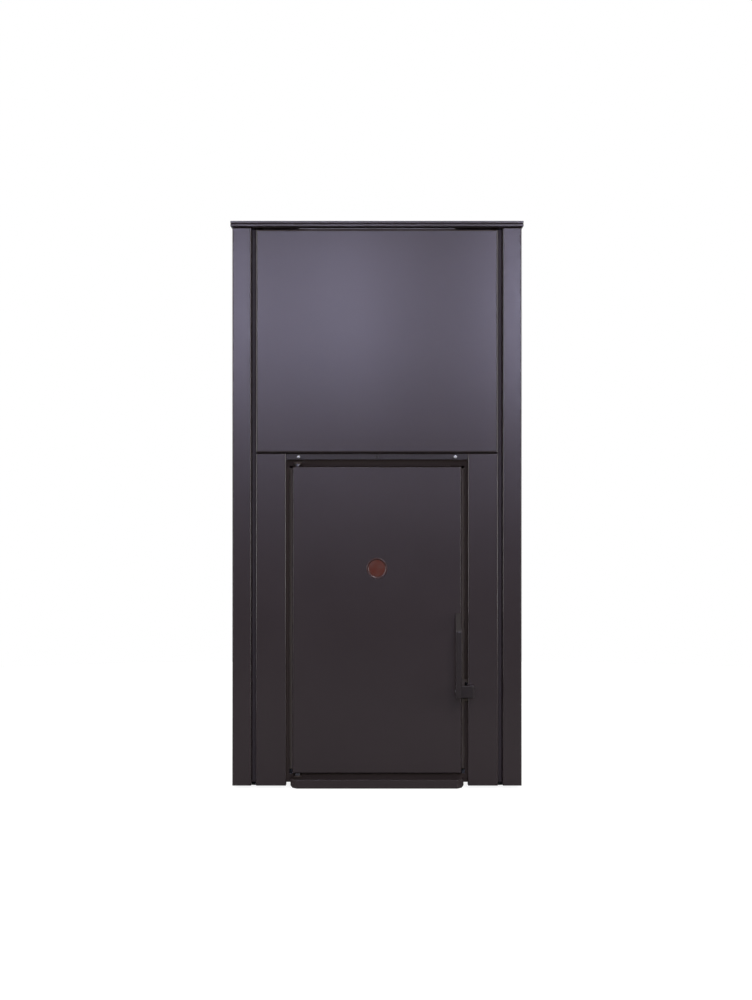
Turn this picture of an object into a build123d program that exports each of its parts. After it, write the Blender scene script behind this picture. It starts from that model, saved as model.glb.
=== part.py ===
from build123d import *
import math
import os

# Floor-standing pellet boiler, in millimetres.
# X runs to the right seen from the front, Y to the back, Z up.
# The origin is on the floor under the middle of the casing.

# Clearances
running_gap = 0.05       # radial, between a shaft and its bearing
seat_gap = 0.3           # between a piece and the seat that carries it
passing_gap = 1.0        # between pieces that pass each other
past = 1.0               # how far a cut runs past the face that it opens
hair = 0.1               # keeps a cut off the face beside it

# Casing
casing_width = 674.0
casing_depth = 740.0
casing_lift = 6.0        # floor to the lower edge of the side panels
side_height = 1298.0
sheet = 2.0
sheet_bend = 3.0
column_width = 44.0
groove_width = 11.4
groove_depth = 24.0
groove_flange = 15.0
groove_foot = 5.0        # the groove flange stops this much above the column
rear_flange = 20.0

half_width = casing_width / 2
front = -casing_depth / 2
rear = casing_depth / 2
side_top = casing_lift + side_height
column_inner = half_width - column_width
panel_half = column_inner - groove_width
groove_back = front + groove_depth
frame_front = groove_back + sheet
frame_back = frame_front + sheet
rear_inner = rear - sheet

# Base tray and feet
tray_level = 22.0
tray_sheet = 2.5
tray_flange = 18.0
tray_front_flange = 10.0
tray_side_gap = 8.0
rail_width = 60.0
rail_lap = 5.0
window_inset = 102.0     # from the boiler's front and rear to the opening in the tray
foot_inset_x = 52.0
foot_inset_y = 70.0
foot_pad_radius = 20.0
foot_pad_edge = 2.5
foot_pad_height = 7.0
foot_stud_radius = 5.0
foot_nut_radius = 9.0
foot_nut_height = 8.0

tray_half = half_width - sheet - tray_side_gap
tray_front = frame_back + sheet
tray_rear = rear_inner - tray_side_gap
tray_top = tray_level + tray_sheet

# Upper front panel, held by ball studs in spring clips
seam = 3.0
panel_top_gap = 3.0      # under the top plate
panel_sheet = 1.5
panel_fold = 22.0
panel_edge_radius = 4.0
lip_inset = 96.1         # from the panel's side edge to the pull lip
lip_flare = 5.0
lip_height = 5.2
lip_sheet = 1.2
lip_tilt = 30.0
stud_side_inset = 15.6
stud_inset = 16.0
stud_radius = 3.0
stud_flange_radius = 6.0
stud_flange = 2.0
stud_ball_radius = 4.0
stud_ball_half = 3.2
stud_length = 34.0
clip_sheet = 1.0
clip_width = 12.0
clip_depth = 9.0
clip_foot = 4.0

panel_top = side_top - panel_top_gap
lip_base_half = panel_half - lip_inset
lip_top_half = lip_base_half - lip_flare
stud_x = panel_half - stud_side_inset

# Lower fascias, header strip and sill
fascia_width = 69.6
header_height = 13.0
header_setback = 4.0
header_screw_inset = 29.3
screw_head_radius = 4.6
screw_head_height = 2.6
screw_shank_radius = 2.0
screw_hole_gap = 0.2
screw_slot = 1.0
screw_slot_depth = 1.2
sill_side_gap = 10.5
sill_splay = 15.5
sill_reach = 20.0
sill_bottom = 2.0
sill_height = 20.0
sill_corner = 6.0
sill_rim = 4.5

recess_half = panel_half - fascia_width
header_screw_x = recess_half - header_screw_inset
sill_half_back = recess_half - sill_side_gap
sill_half_front = sill_half_back - sill_splay

# Top plate, the lower of the two thin layers
top_skirt = 4.0          # height of the sloping edge
top_edge = 5.5           # height of the upright edge
top_overhang = 4.0
top_front_overhang = 6.0
top_front_setback = 6.0  # the slope ends this far behind the front
top_deck = 2.0
top_chamfer = 1.2
bay_half = 150.0
bay_front = -290.0
bay_depth = 160.0

top_rim = side_top + top_skirt
top_level = top_rim + top_edge
top_half = half_width + top_overhang
top_rear = rear - 4.0

# Hopper lid, the upper layer
lid_gap = 0.3
lid_height = 6.2
lid_sheet = 1.5
lid_chamfer = 1.2
lid_hinge_inset = 117.0  # from the casing's side
lid_hinge_offset = 6.0   # hinge axis behind the lid's rear edge
knuckle_radius = 4.0
knuckle_length = 20.0
lid_pin_radius = 2.0
leaf_height = 40.0
leaf_knuckle = 15.0
leaf_notch = 3.0
seal_width = 10.0

lid_bottom = top_level + lid_gap
lid_axis_y = top_rear + lid_hinge_offset
lid_axis_z = lid_bottom
lid_hinge_x = half_width - lid_hinge_inset

# Rear panel
louvre_count = 6
louvre_length = 130.0
louvre_rise = 7.0
louvre_lip = 2.0
louvre_height = 10.0
louvre_pitch = 34.0
louvre_inset = 147.0     # from the casing's side
louvre_lift = 90.0       # above the flow pipe
cutout_gap = 3.0
bead_gap = 1.0           # from the back to the bead of a pipe
bead_width = 4.0
bead_rise = 2.0

louvre_x = half_width - louvre_inset

# Fire door
door_side_gap = 15.0
door_bottom = 33.7
door_height = 716.0
door_top_gap = 15.3      # under the header strip
door_depth = 28.0
door_sheet = 2.5
door_top_bevel = 7.0
door_side_bevel = 4.0
door_bevel_depth = 2.6
door_pin_inset = 11.0    # from the door's left edge
door_pin_setback = 14.0  # behind the front face
door_pin_radius = 4.0
door_boss_radius = 8.5
door_boss_length = 22.0
door_pin_reach = 12.0    # into the door
pin_bore_spare = 2.0
pin_collar_rise = 2.5
pin_collar = 2.0
bracket_sheet = 4.0
bracket_gap = 5.4
bracket_half = 10.0
inner_sheet = 2.0
inner_lap = 12.0         # of the inner plate over the firebox mouth
inner_top_lap = 40.0
inner_corner = 12.0
rope_width = 8.0
rope_inset = 4.0
rope_inner_corner = 6.0
insulation_pin_gap = 14.0
insulation_edge = 4.0

door_half = recess_half - door_side_gap
door_top = door_bottom + door_height
door_back = front + door_depth
door_pin_x = door_half - door_pin_inset
insulation_left = door_pin_x - insulation_pin_gap
header_bottom = door_top + door_top_gap
fascia_top = header_bottom + header_height
panel_bottom = fascia_top + seam
pin_y = front + door_pin_setback

# Openings of the plate behind the front
door_opening_side = 7.0
door_opening_low = 2.7
door_opening_high = 1.3
upper_opening_side = 31.6
upper_opening_inset = 30.0
upper_opening_return = 12.0

door_opening_half = recess_half - door_opening_side
door_opening_bottom = door_bottom - door_opening_low
door_opening_top = door_top + door_opening_high
upper_opening_half = panel_half - upper_opening_side

# Sight glass
glass_drop = 48.0        # its middle under the firebox's top
glass_radius = 23.0
glass_thickness = 4.0
glass_recess = 0.8
glass_chamfer = 0.8
glass_tube_wall = 2.5

# Handle
handle_inset = 8.2       # from the door's right edge
handle_z = 226.5
lever_width = 12.0
lever_length = 181.5     # from the spindle to the tip
lever_slope = 40.0
lever_depth = 15.0
lever_reach = 38.0       # how far it stands off the door
lever_tip_gap = 2.5
lever_bend = 9.0
arm_left = 6.3
arm_right = 35.7
arm_height = 28.0
arm_back = 8.0
arm_depth = 20.0
arm_corner = 9.3
arm_edge = 1.5
spindle_radius = 5.0
spindle_boss_radius = 8.0
spindle_boss_shift = 1.0 # towards the door's middle
spindle_washer_rise = 2.0
tongue_gap = 5.0         # behind the plate with the door opening
tongue_thickness = 6.0
tongue_half = 8.0
tongue_reach = 16.5
roller_radius = 7.0
roller_gap = 1.2
catch_height = 32.0
catch_sheet = 2.5
catch_length = 34.0
catch_notch = 26.0
catch_notch_margin = 7.0

handle_x = door_half - handle_inset

# Boiler body
boiler_side_gap = 112.0  # from the casing's side
boiler_setback = 50.0    # behind the casing's front
boiler_depth = 380.0
boiler_bottom = 40.0
boiler_height = 705.0
jacket = 4.0
front_plate = 8.0
plate = 5.0
water_width = 65.0       # beside the firebox
firebox_depth = 300.0
firebox_bottom = 60.0
tube_length = 130.0
tube_radius = 20.0
tube_wall = 2.5
tube_columns = 4
tube_side_gap = 40.0     # from the outer tubes to the firebox side
tube_row_front = -230.0
tube_row_rear = -110.0
smoke_box_height = 55.0
smoke_box_setback = 20.0 # behind the boiler's front
duct_side_gap = 45.0     # from its middle to the firebox side
duct_width = 70.0
duct_depth = 45.0
duct_bottom = 140.0
duct_cover = 10.0        # from the duct to the rear face
socket_inset = 35.0      # from the boiler's left side
socket_length = 15.0
socket_stop = 2.0
socket_wall = 4.0
flow_drop = 95.0         # under the boiler's top
return_height = 110.0

boiler_half = half_width - boiler_side_gap
boiler_front = front + boiler_setback
boiler_rear = boiler_front + boiler_depth
boiler_top = boiler_bottom + boiler_height
firebox_rear = boiler_front + firebox_depth
firebox_half = boiler_half - water_width
smoke_box_half = firebox_half
smoke_box_front = boiler_front + smoke_box_setback
smoke_box_bottom = boiler_top - smoke_box_height
firebox_top = smoke_box_bottom - tube_length
tube_pitch = 2 * (firebox_half - tube_side_gap) / (tube_columns - 1)
duct_x = firebox_half - duct_side_gap
socket_x = -boiler_half + socket_inset
flow_height = boiler_top - flow_drop
louvre_bottom = flow_height + louvre_lift
inner_half = firebox_half + inner_lap
inner_bottom = firebox_bottom - inner_lap
inner_top = firebox_top + inner_top_lap
glass_height = firebox_top - glass_drop

# Smoke box cover
cover_thickness = 8.0
cover_lap = 14.0
cover_chamfer = 2.0
cover_handle_half = 55.0
cover_handle_rise = 24.0
cover_handle_bend = 6.0
cover_handle_sheet = 4.0
cover_handle_width = 20.0

# Firebox pieces
lining_thickness = 16.0
lining_gap = 1.5
lining_drop = 120.0      # under the firebox's top
shelf_level = 205.0
shelf_thickness = 6.0
shelf_leg = 6.0
pot_y = -150.0
pot_top_half = 60.0
pot_bottom_half = 42.0
pot_height = 62.0
pot_wall = 6.0
pot_flange = 8.0
pot_flange_thickness = 4.0
pot_hole_radius = 3.0
pot_hole_pitch = 24.0
pot_hole_lift = 37.0     # of the side holes over the pot's bottom
rod_radius = 6.0
rod_drop = 28.0
rod_flange_radius = 14.0
rod_flange = 4.0
drawer_side_gap = 22.0   # from the firebox side
drawer_front_gap = 8.0
drawer_length = 270.0
drawer_height = 72.0
drawer_wall = 2.0
drawer_corner = 6.0
drawer_grip_half = 40.0
drawer_grip_reach = 5.0
drawer_grip_drop = 22.0
drawer_grip_lip = 8.0

lining_top = firebox_top - lining_drop
drawer_half = firebox_half - drawer_side_gap

# Tube cleaning
rack_lift = 13.0         # over the smoke box floor
rack_sheet = 3.0
rack_bar = 24.0
turbulator_width = 28.0
turbulator_sheet = 2.0
turbulator_length = 110.0
turbulator_neck = 14.0   # narrow part, under the smoke box floor
turbulator_neck_half = 4.0
turbulator_vanes = 3
vane_width = 17.0
vane_depth = 20.0
vane_tilt = 35.0
crank_arm = 40.0
crank_travel = 10.0
crank_shaft_radius = 6.0
crank_pin_radius = 4.0
crank_pin_gap = 0.4
crank_arm_x = 12.0
crank_arm_sheet = 6.0
crank_pin_length = 12.0
crank_lift = 14.5        # over the rack
crank_hub_radius = 9.0
crank_arm_half = 7.0
crank_boss_radius = 12.0
crank_hole_gap = 0.5
link_gap = 3.0           # beside the crank arm
link_reach = 14.0        # ahead of the pin
link_sheet = 4.0
link_height = 23.0
gear_box_depth = 38.0
gear_box_half_y = 35.0
gear_box_half_z = 27.0
gear_box_corner = 6.0
gear_box_wall = 4.0
cleaning_motor_radius = 24.0
cleaning_motor_length = 55.0
motor_chamfer = 4.0

pin_setback = 20.0       # from the rear tube row to the crank pin

rack_rest = smoke_box_bottom + rack_lift
crank_height = rack_rest + crank_lift
crank_y = tube_row_rear - pin_setback - crank_arm

# Pellet feed
feed_angle = 45.0
feed_foot_y = 330.0
feed_foot_drop = 430.0   # under the hopper's shoulder
feed_tube_radius = 30.5
feed_tube_wall = 2.5
feed_tube_length = 312.0
screw_radius = 26.0
screw_shaft_radius = 8.0
screw_pitch = 60.0
screw_flight = 3.0
flight_foot_gap = 6.0
flight_head_gap = 16.0
feed_motor_half = 33.0
feed_gear_length = 46.0
feed_gear_corner = 8.0
feed_motor_radius = 27.0
feed_motor_length = 62.0
feed_motor_ribs = 2
motor_rib_start = 18.0
motor_rib_pitch = 20.0
motor_rib_rise = 3.0
motor_rib = 4.0
feed_shaft_reach = 24.0
feed_plate = 4.0
chute_radius = 30.0
chute_wall = 2.5
chute_y = 132.0
chute_bend_lift = 90.0   # over the firebox's top
chute_slope = 45.0
chute_end_y = -14.0
passage_start = 62.0     # down the slope, still behind the boiler
passage_run_on = 20.0

# Hopper
hopper_side_gap = 52.0   # from the casing's side
hopper_front = -20.0
hopper_rear = 345.0
hopper_sheet = 1.5
hopper_flange = 10.0
hopper_depth = 143.5     # of the upright part
hopper_neck_lift = 140.0 # over the foot of the feed tube
hopper_neck_half = 30.0
hopper_neck_y = 280.0
mouth_margin = 14.0
grille_drop = 22.0
grille_bar = 3.0
grille_frame = 8.0
grille_cross_bars = 6

hopper_half = half_width - hopper_side_gap
hopper_shoulder = top_level - hopper_depth
feed_foot_z = hopper_shoulder - feed_foot_drop
hopper_neck_level = feed_foot_z + hopper_neck_lift
chute_bend_z = firebox_top + chute_bend_lift

# Exhaust fan
fan_z = 190.0
scroll_radius = 66.0
scroll_step = 16.0
scroll_depth = 64.0
scroll_wall = 2.5
scroll_outlet = 62.0
flue_box = 112.0
collector_depth = 50.0   # behind the scroll
flue_drop = 94.0         # under the fan's middle
flue_flange_radius = 54.0
flue_flange = 3.0
flue_radius = 50.0
flue_wall = 2.0
flue_reach = 38.0
inlet_radius = 30.0
impeller_radius = 54.0
impeller_hub = 12.0
hub_length = 12.0
impeller_blades = 8
blade_inner_radius = 26.0
blade_bow = 5.0
blade_sweep = 16.0
blade_sheet = 2.0
blade_depth = 30.0
impeller_gap = 6.0
fan_shaft_radius = 5.0
fan_shaft_seat = 24.0
fan_motor_radius = 40.0
fan_motor_length = 68.0
fan_motor_gap = 10.0
fan_post_radius = 4.0
fan_post_shift = 2.0
fan_ring_rise = 8.0
fan_ring_start = 20.0
fan_ring = 4.0
fan_motor_front_slope = 8.0
fan_motor_rear_slope = 12.0

# Air intake
air_side_gap = 65.0      # from its middle to the firebox side
air_z = 110.0
air_radius = 30.0
air_wall = 1.5
air_reach = 30.0
air_flange_radius = 44.0
air_flange = 3.0

air_x = -firebox_half + air_side_gap

# Water side
water_pipe_radius = 13.2
water_pipe_wall = 2.6
water_reach = 34.0
elbow_wall = 3.0
elbow_reach = 26.0
return_stub_z = 330.0
return_run_y = 230.0
pump_z = 215.0
pump_radius = 48.0
pump_motor_length = 62.0
pump_body_half = 52.0
pump_volute = 22.0
pump_nut_rise = 6.0
pump_nut = 7.0
pump_neck_rise = 1.0
pump_neck = 10.0
pump_barrel_rise = 8.0
pump_barrel_half = 10.0
pump_motor_step = 6.0
pump_chamfer = 3.0
valve_y = 150.0
valve_body_radius = 16.0
valve_body_height = 46.0
valve_bore_radius = 6.4
valve_neck = 14.0
valve_shoulder = 2.0
valve_cap = 6.0
valve_stem_radius = 3.0
valve_stem_bore = 10.0
valve_stem_length = 9.0
valve_knob_radius = 15.0
valve_knob_height = 18.0
valve_knob_lobes = 6
valve_knob_groove = 4.0
valve_knob_groove_shift = 2.0
valve_outlet_radius = 10.0
valve_outlet_length = 38.0
valve_outlet_rise = 26.0
valve_outlet_wall = 3.0
vessel_x = 130.0
vessel_drop = 260.0      # its middle under the foot of the feed tube
vessel_radius = 135.0
vessel_depth = 88.0
vessel_bulge = 26.0
vessel_face_radius = 74.0
vessel_rim_rise = 4.0
vessel_rim_half = 2.0
vessel_nipple_radius = 10.0
vessel_nipple_length = 24.0
vessel_hook = 30.0
vessel_hook_half = 20.0
vessel_hook_sheet = 4.0

vessel_z = feed_foot_z - vessel_drop

# Control bay
panel_plate = 3.0
control_recess = 2.5     # below the deck
control_flange = 8.0
control_depth = 34.0
control_wall = 2.5
display_half_x = 45.0
display_half_y = 20.0
display_x = -55.0
display_recess = 1.2
key_radius = 8.0
key_gap = 0.3
key_rise = 1.0
key_travel = 2.0
key_collar = 1.8
key_stem = 8.0
key_stem_radius = 3.0
key_collar_rise = 1.5
key_edge = 0.6
key_post_radius = 4.0
key_first_x = 35.0
key_pitch = 36.0

# Mains inlet on the back
inlet_inset = 87.0       # from the casing's side
inlet_drop = 170.0       # under the hopper's shoulder
inlet_half_x = 14.0
inlet_half_z = 30.0
inlet_depth = 30.0
inlet_lap = 5.0
inlet_face = 3.0
inlet_corner = 4.0
socket_half_x = 11.5
socket_half_z = 8.5
socket_depth = 18.0
socket_drop = 2.0
pin_pitch = 6.0
pin_low = 2.0
pin_high = 3.0
pin_half_x = 1.0
pin_half_z = 2.0
pin_setback_y = 7.0
rocker_half_x = 9.0
rocker_half_z = 6.5
rocker_depth = 9.0
rocker_drop = 16.0       # centre of the rocker under the inlet's middle
rocker_tilt = 7.0
rocker_rise = 1.0
well_gap_x = 0.5
well_gap_z = 2.0
well_spare = 4.0

inlet_x = half_width - inlet_inset
inlet_z = hopper_shoulder - inlet_drop


def block(x0, x1, y0, y1, z0, z1):
    """Box between two corners."""
    middle = Pos((x0 + x1) / 2, (y0 + y1) / 2, (z0 + z1) / 2)
    return middle * Box(x1 - x0, y1 - y0, z1 - z0)


def rect(x0, x1, y0, y1):
    """Rectangle between two corners of a drawing plane."""
    return Pos((x0 + x1) / 2, (y0 + y1) / 2) * Rectangle(x1 - x0, y1 - y0)


def rod(radius, start, end):
    """Round bar between two points."""
    axis = Vector(*end) - Vector(*start)
    return extrude(Plane(origin=start, z_dir=axis) * Circle(radius), axis.length)


def pipe(radius, wall, start, end):
    """Straight round tube between two points."""
    axis = Vector(*end) - Vector(*start)
    ring = Circle(radius) - Circle(radius - wall)
    return extrude(Plane(origin=start, z_dir=axis) * ring, axis.length)


def plan(outline, bottom, height):
    """Outline in X and Y, raised from a level."""
    return extrude(Pos(0, 0, bottom) * outline, height)


def elevation(outline, y_front, depth):
    """Outline in X and Z, carried back from a front face."""
    face_plane = Plane(origin=(0, y_front + depth, 0), x_dir=(1, 0, 0), z_dir=(0, -1, 0))
    return extrude(face_plane * outline, depth)


def profile(outline, x_left, width):
    """Outline in Y and Z, carried to the right."""
    face_plane = Plane(origin=(x_left, 0, 0), x_dir=(0, 1, 0), z_dir=(1, 0, 0))
    return extrude(face_plane * outline, width)


def folded_sheet(points, thickness, radius):
    """Section of a sheet bent along a line, with its thickness on the left of the line."""
    line = FilletPolyline(*points, radius=radius)
    return make_face(line.wire().offset_2d(thickness, kind=Kind.ARC, side=Side.LEFT, closed=True))


def lathe_y(points, x, z):
    """Solid turned about a line along Y, from (radius, y) corners."""
    axis = Axis((x, 0, z), (0, 1, 0))
    return revolve(Pos(x, 0, z) * make_face(Polyline(*points, close=True)), axis)


def lathe_z(points, x, y):
    """Solid turned about an upright line, from (radius, z) corners."""
    flat = Plane(origin=(x, y, 0), x_dir=(1, 0, 0), z_dir=(0, -1, 0))
    return revolve(flat * make_face(Polyline(*points, close=True)), Axis((x, y, 0), (0, 0, 1)))


def tapered(low, high):
    """Straight-sided solid between two level rectangles, each given as x0, x1, y0, y1, z."""
    rings = [[(x0, y0, z), (x1, y0, z), (x1, y1, z), (x0, y1, z)] for x0, x1, y0, y1, z in (low, high)]
    faces = [Face(Wire.make_polygon(ring)) for ring in rings]
    bottom, top = rings
    for i in range(4):
        k = (i + 1) % 4
        faces.append(Face(Wire.make_polygon([bottom[i], bottom[k], top[k], top[i]])))
    return Solid(Shell(faces))


def mitred(radius, start, corner, end):
    """Round bar along two lines that meet in a mitre."""
    start, corner, end = Vector(*start), Vector(*corner), Vector(*end)
    before = (corner - start).normalized()
    after = (end - corner).normalized()
    first = rod(radius, start, corner + before * 2 * radius)
    second = rod(radius, corner - after * 2 * radius, end)
    seam = Plane(origin=corner, z_dir=before + after)
    return split(first, bisect_by=seam, keep=Keep.BOTTOM) + split(second, bisect_by=seam, keep=Keep.TOP)


def mirrored(shape):
    """The same piece on the other side of the middle plane."""
    return mirror(shape, about=Plane.YZ)


def stop_bead(radius, wall, x, z):
    """Raised bead on a pipe just outside the back, where what is pushed on stops."""
    y = rear + bead_gap
    return pipe(radius + bead_rise, bead_rise + wall / 2, (x, y, z), (x, y + bead_width, z))


def spigot(radius, wall, x, z, start, end):
    """Pipe that leaves through the back, with its bead."""
    return pipe(radius, wall, (x, start, z), (x, end, z)) + stop_bead(radius, wall, x, z)


def base_frame():
    """Folded tray with two hat rails under the boiler body."""
    x, y0, y1 = tray_half, tray_front, tray_rear
    tray = plan(rect(-x, x, y0, y1), tray_level, tray_sheet)
    side = block(x - tray_sheet, x, y0, y1, tray_top, tray_top + tray_flange)
    tray += side + mirrored(side)
    tray += block(-x, x, y1 - tray_sheet, y1, tray_top, tray_top + tray_flange)
    tray += block(-x, x, y0, y0 + tray_sheet, tray_level - tray_front_flange, tray_level)
    for y in (boiler_front + rail_width, boiler_rear - rail_width):
        tray += profile(rail_section(y), -boiler_half, 2 * boiler_half)
    window = rect(-firebox_half, firebox_half, boiler_front + window_inset, boiler_rear - window_inset)
    tray -= plan(window, tray_level, tray_sheet)
    for x_foot, y_foot in foot_places():
        tray -= rod(foot_stud_radius + seat_gap, (x_foot, y_foot, 0), (x_foot, y_foot, boiler_bottom))
    return tray


def rail_section(y):
    """Hat section of a cross rail about its middle line."""
    half = rail_width / 2
    brim = half + rail_lap
    section = rect(y - half, y + half, tray_top, boiler_bottom)
    section += rect(y - brim, y + brim, tray_top, tray_top + sheet)
    return section - rect(y - half + sheet, y + half - sheet, tray_top, boiler_bottom - sheet)


def foot_places():
    """Centres of the four feet."""
    x = half_width - foot_inset_x
    y = rear - foot_inset_y
    return [(-x, -y), (x, -y), (-x, y), (x, y)]


def levelling_feet():
    """Four screw feet: pad, stud and lock nut under the tray."""
    feet = []
    stud_top = tray_top + tray_flange
    nut_bottom = tray_level - seat_gap - foot_nut_height
    pad, stud = foot_pad_radius, foot_stud_radius
    line = [(0, 0), (pad, 0), (pad, foot_pad_edge), (stud, foot_pad_height), (stud, stud_top), (0, stud_top)]
    for x, y in foot_places():
        nut = Pos(x, y, nut_bottom) * extrude(RegularPolygon(foot_nut_radius, 6), foot_nut_height)
        feet.append(lathe_z(line, x, y) + nut)
    return feet


def side_panel_right():
    """Side sheet folded round the front column to the groove flange."""
    line = [(column_inner - groove_flange, groove_back), (column_inner, groove_back), (column_inner, front),
            (half_width, front), (half_width, rear_inner), (half_width - rear_flange, rear_inner)]
    panel = plan(folded_sheet(line, sheet, sheet_bend), casing_lift, side_height)
    foot_cut = block(column_inner - groove_flange - past, column_inner - hair, groove_back - past,
                     frame_front + past, casing_lift - past, casing_lift + groove_foot)
    return panel - foot_cut


def front_frame():
    """Plate behind the grooves, with the door opening and the upper opening."""
    half = column_inner - sheet
    bottom = casing_lift + groove_foot
    outline = rect(-half, half, bottom, side_top)
    outline -= rect(-door_opening_half, door_opening_half, door_opening_bottom, door_opening_top)
    notch_end = handle_x + tongue_reach + catch_notch_margin
    outline -= rect(0, notch_end, handle_z - catch_notch, handle_z + catch_notch)
    low, high = panel_bottom + upper_opening_inset, side_top - upper_opening_inset
    opening = rect(-upper_opening_half, upper_opening_half, low, high)
    frame = elevation(outline - opening, frame_front, sheet)
    rim_half = upper_opening_half + sheet
    rim = rect(-rim_half, rim_half, low - sheet, high + sheet) - opening
    frame += elevation(rim, frame_front, upper_opening_return)
    for x, z in stud_places():
        frame -= rod(stud_ball_radius + passing_gap, (x, frame_front - past, z), (x, frame_back + past, z))
    return frame


def stud_places():
    """Where the upper panel snaps on."""
    low, high = panel_bottom + stud_inset, panel_top - stud_inset
    return [(-stud_x, low), (stud_x, low), (-stud_x, high), (stud_x, high)]


def upper_front_panel():
    """Pan with rounded folds and a pull lip along its top edge."""
    back = front + panel_fold
    outer = block(-panel_half, panel_half, front, back, panel_bottom, panel_top)
    outer = fillet(outer.faces().sort_by(Axis.Y)[0].edges(), panel_edge_radius)
    t = panel_sheet
    inner = block(-panel_half + t, panel_half - t, front + t, back, panel_bottom + t, panel_top - t)
    inner = fillet(inner.faces().sort_by(Axis.Y)[0].edges(), panel_edge_radius - t)
    return outer - inner + pull_lip()


def pull_lip():
    """Flared tab that the fingers pull, standing on the upper fold."""
    tab = make_face(Polyline((-lip_base_half, -1), (lip_base_half, -1), (lip_top_half, lip_height),
                             (-lip_top_half, lip_height), close=True))
    place = Plane(origin=(0, front + panel_edge_radius, panel_top - panel_sheet / 2),
                  x_dir=(1, 0, 0), z_dir=(0, -1, 0))
    return place.location * Rot(X=lip_tilt) * extrude(tab, lip_sheet)


def panel_studs():
    """Four turned ball studs behind the upper panel."""
    start = front + panel_sheet
    neck = start + stud_flange
    middle = start + stud_length
    r, ball, h = stud_radius, stud_ball_radius, stud_ball_half
    line = [(0, start), (stud_flange_radius, start), (stud_flange_radius, neck), (r, neck), (r, middle - h),
            (ball, middle - h / 2), (ball, middle + h / 2), (r / 2, middle + h), (0, middle + h)]
    return [lathe_y(line, x, z) for x, z in stud_places()]


def panel_spring_clips():
    """U-shaped clips behind the plate, one leaf each side of a stud."""
    clips = []
    half = clip_width / 2
    inner = stud_ball_radius + seat_gap
    outer = inner + clip_sheet
    foot = outer + clip_foot
    for x, z in stud_places():
        base = rect(x - foot, x + foot, z - half, z + half) - Pos(x, z) * Circle(inner)
        leaf = block(x + inner, x + outer, frame_back, frame_back + clip_depth, z - half, z + half)
        clips.append(elevation(base, frame_back, clip_sheet) + leaf + Pos(2 * x, 0, 0) * mirrored(leaf))
    return clips


def fascia_right():
    """Folded fascia beside the door."""
    line = [(recess_half, frame_front), (recess_half, front), (panel_half, front), (panel_half, groove_back)]
    section = folded_sheet(line, panel_sheet, sheet_bend)
    return plan(section, casing_lift, fascia_top - casing_lift)


def door_header():
    """Channel strip over the door, open to the back."""
    face_y = front + header_setback
    t = panel_sheet
    section = rect(face_y, frame_front, header_bottom, fascia_top)
    section -= rect(face_y + t, frame_front, header_bottom + t, fascia_top - t)
    half = recess_half - seat_gap
    strip = profile(section, -half, 2 * half)
    z = header_screw_z()
    for x in header_screw_places():
        strip -= rod(screw_shank_radius + screw_hole_gap, (x, face_y - past, z), (x, face_y + t + past, z))
    return strip


def header_screw_places():
    """Three screws, at the ends and in the middle."""
    return (-header_screw_x, 0, header_screw_x)


def header_screw_z():
    """Level of the screws."""
    return (header_bottom + fascia_top) / 2


def header_screws():
    """Three slotted pan-head screws into the plate behind the header."""
    screws = []
    y = front + header_setback
    z = header_screw_z()
    r, h, s = screw_head_radius, screw_head_height, screw_shank_radius
    line = [(0, y - h), (r * 0.6, y - h), (r, y - h / 2), (r, y), (s, y), (s, frame_front), (0, frame_front)]
    half = screw_slot / 2
    for x in header_screw_places():
        slot = block(x - r, x + r, y - h - past, y - h + screw_slot_depth, z - half, z + half)
        screws.append(lathe_y(line, x, z) - slot)
    return screws


def door_sill():
    """Splayed tray lip under the door, with cut lower corners."""
    y_out = front - sill_reach
    top = sill_bottom + sill_height
    back, fore, t = sill_half_back, sill_half_front, panel_sheet
    outline = make_face(Polyline((-back, frame_front), (-back, front), (-fore, y_out), (fore, y_out),
                                 (back, front), (back, frame_front), close=True))
    inner = offset(outline, -t, kind=Kind.INTERSECTION)
    inner += rect(-back + t, back - t, front, frame_front)
    tray = plan(outline, sill_bottom, sill_height) - plan(inner, sill_bottom + t, sill_height)
    low = sill_bottom - past
    wedge = make_face(Polyline((-back - past, low), (-back + sill_corner, low),
                               (-back - past, sill_bottom + sill_corner), close=True))
    corner = elevation(wedge, y_out - past, frame_front - y_out + 2 * past)
    rim = block(-fore, fore, y_out, y_out + sill_rim, top - t, top)
    return tray - corner - mirrored(corner) + rim


def top_outline(inset):
    """Corners of the top plate's two outlines: at the side panels and at the rim."""
    x_low, x_high = half_width - inset, top_half - inset
    low = (-x_low, x_low, front + top_front_setback + inset, rear_inner - inset)
    high = (-x_high, x_high, front - top_front_overhang + inset, top_rear - inset)
    return low, high


def top_plate():
    """Shallow tray with a sloping skirt, the hopper mouth and the control bay."""
    low, high = top_outline(0)
    body = tapered((*low, side_top), (*high, top_rim)) + plan(rect(*high), top_rim, top_edge)
    body = chamfer(body.faces().sort_by(Axis.Z)[-1].edges(), top_chamfer)
    low, high = top_outline(sheet)
    body -= tapered((*low, side_top), (*high, top_rim)) + plan(rect(*high), top_rim, top_edge - top_deck)
    body -= plan(mouth_outline(0), top_rim, top_edge)
    bay = rect(-bay_half, bay_half, bay_front, bay_front + bay_depth)
    return body - plan(bay, top_rim, top_edge)


def mouth_outline(inset):
    """Mouth of the hopper in the top plate."""
    m = mouth_margin + inset
    outline = rect(-hopper_half + m, hopper_half - m, hopper_front + m, hopper_rear - m)
    return fillet(outline.vertices(), mouth_margin)


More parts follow.
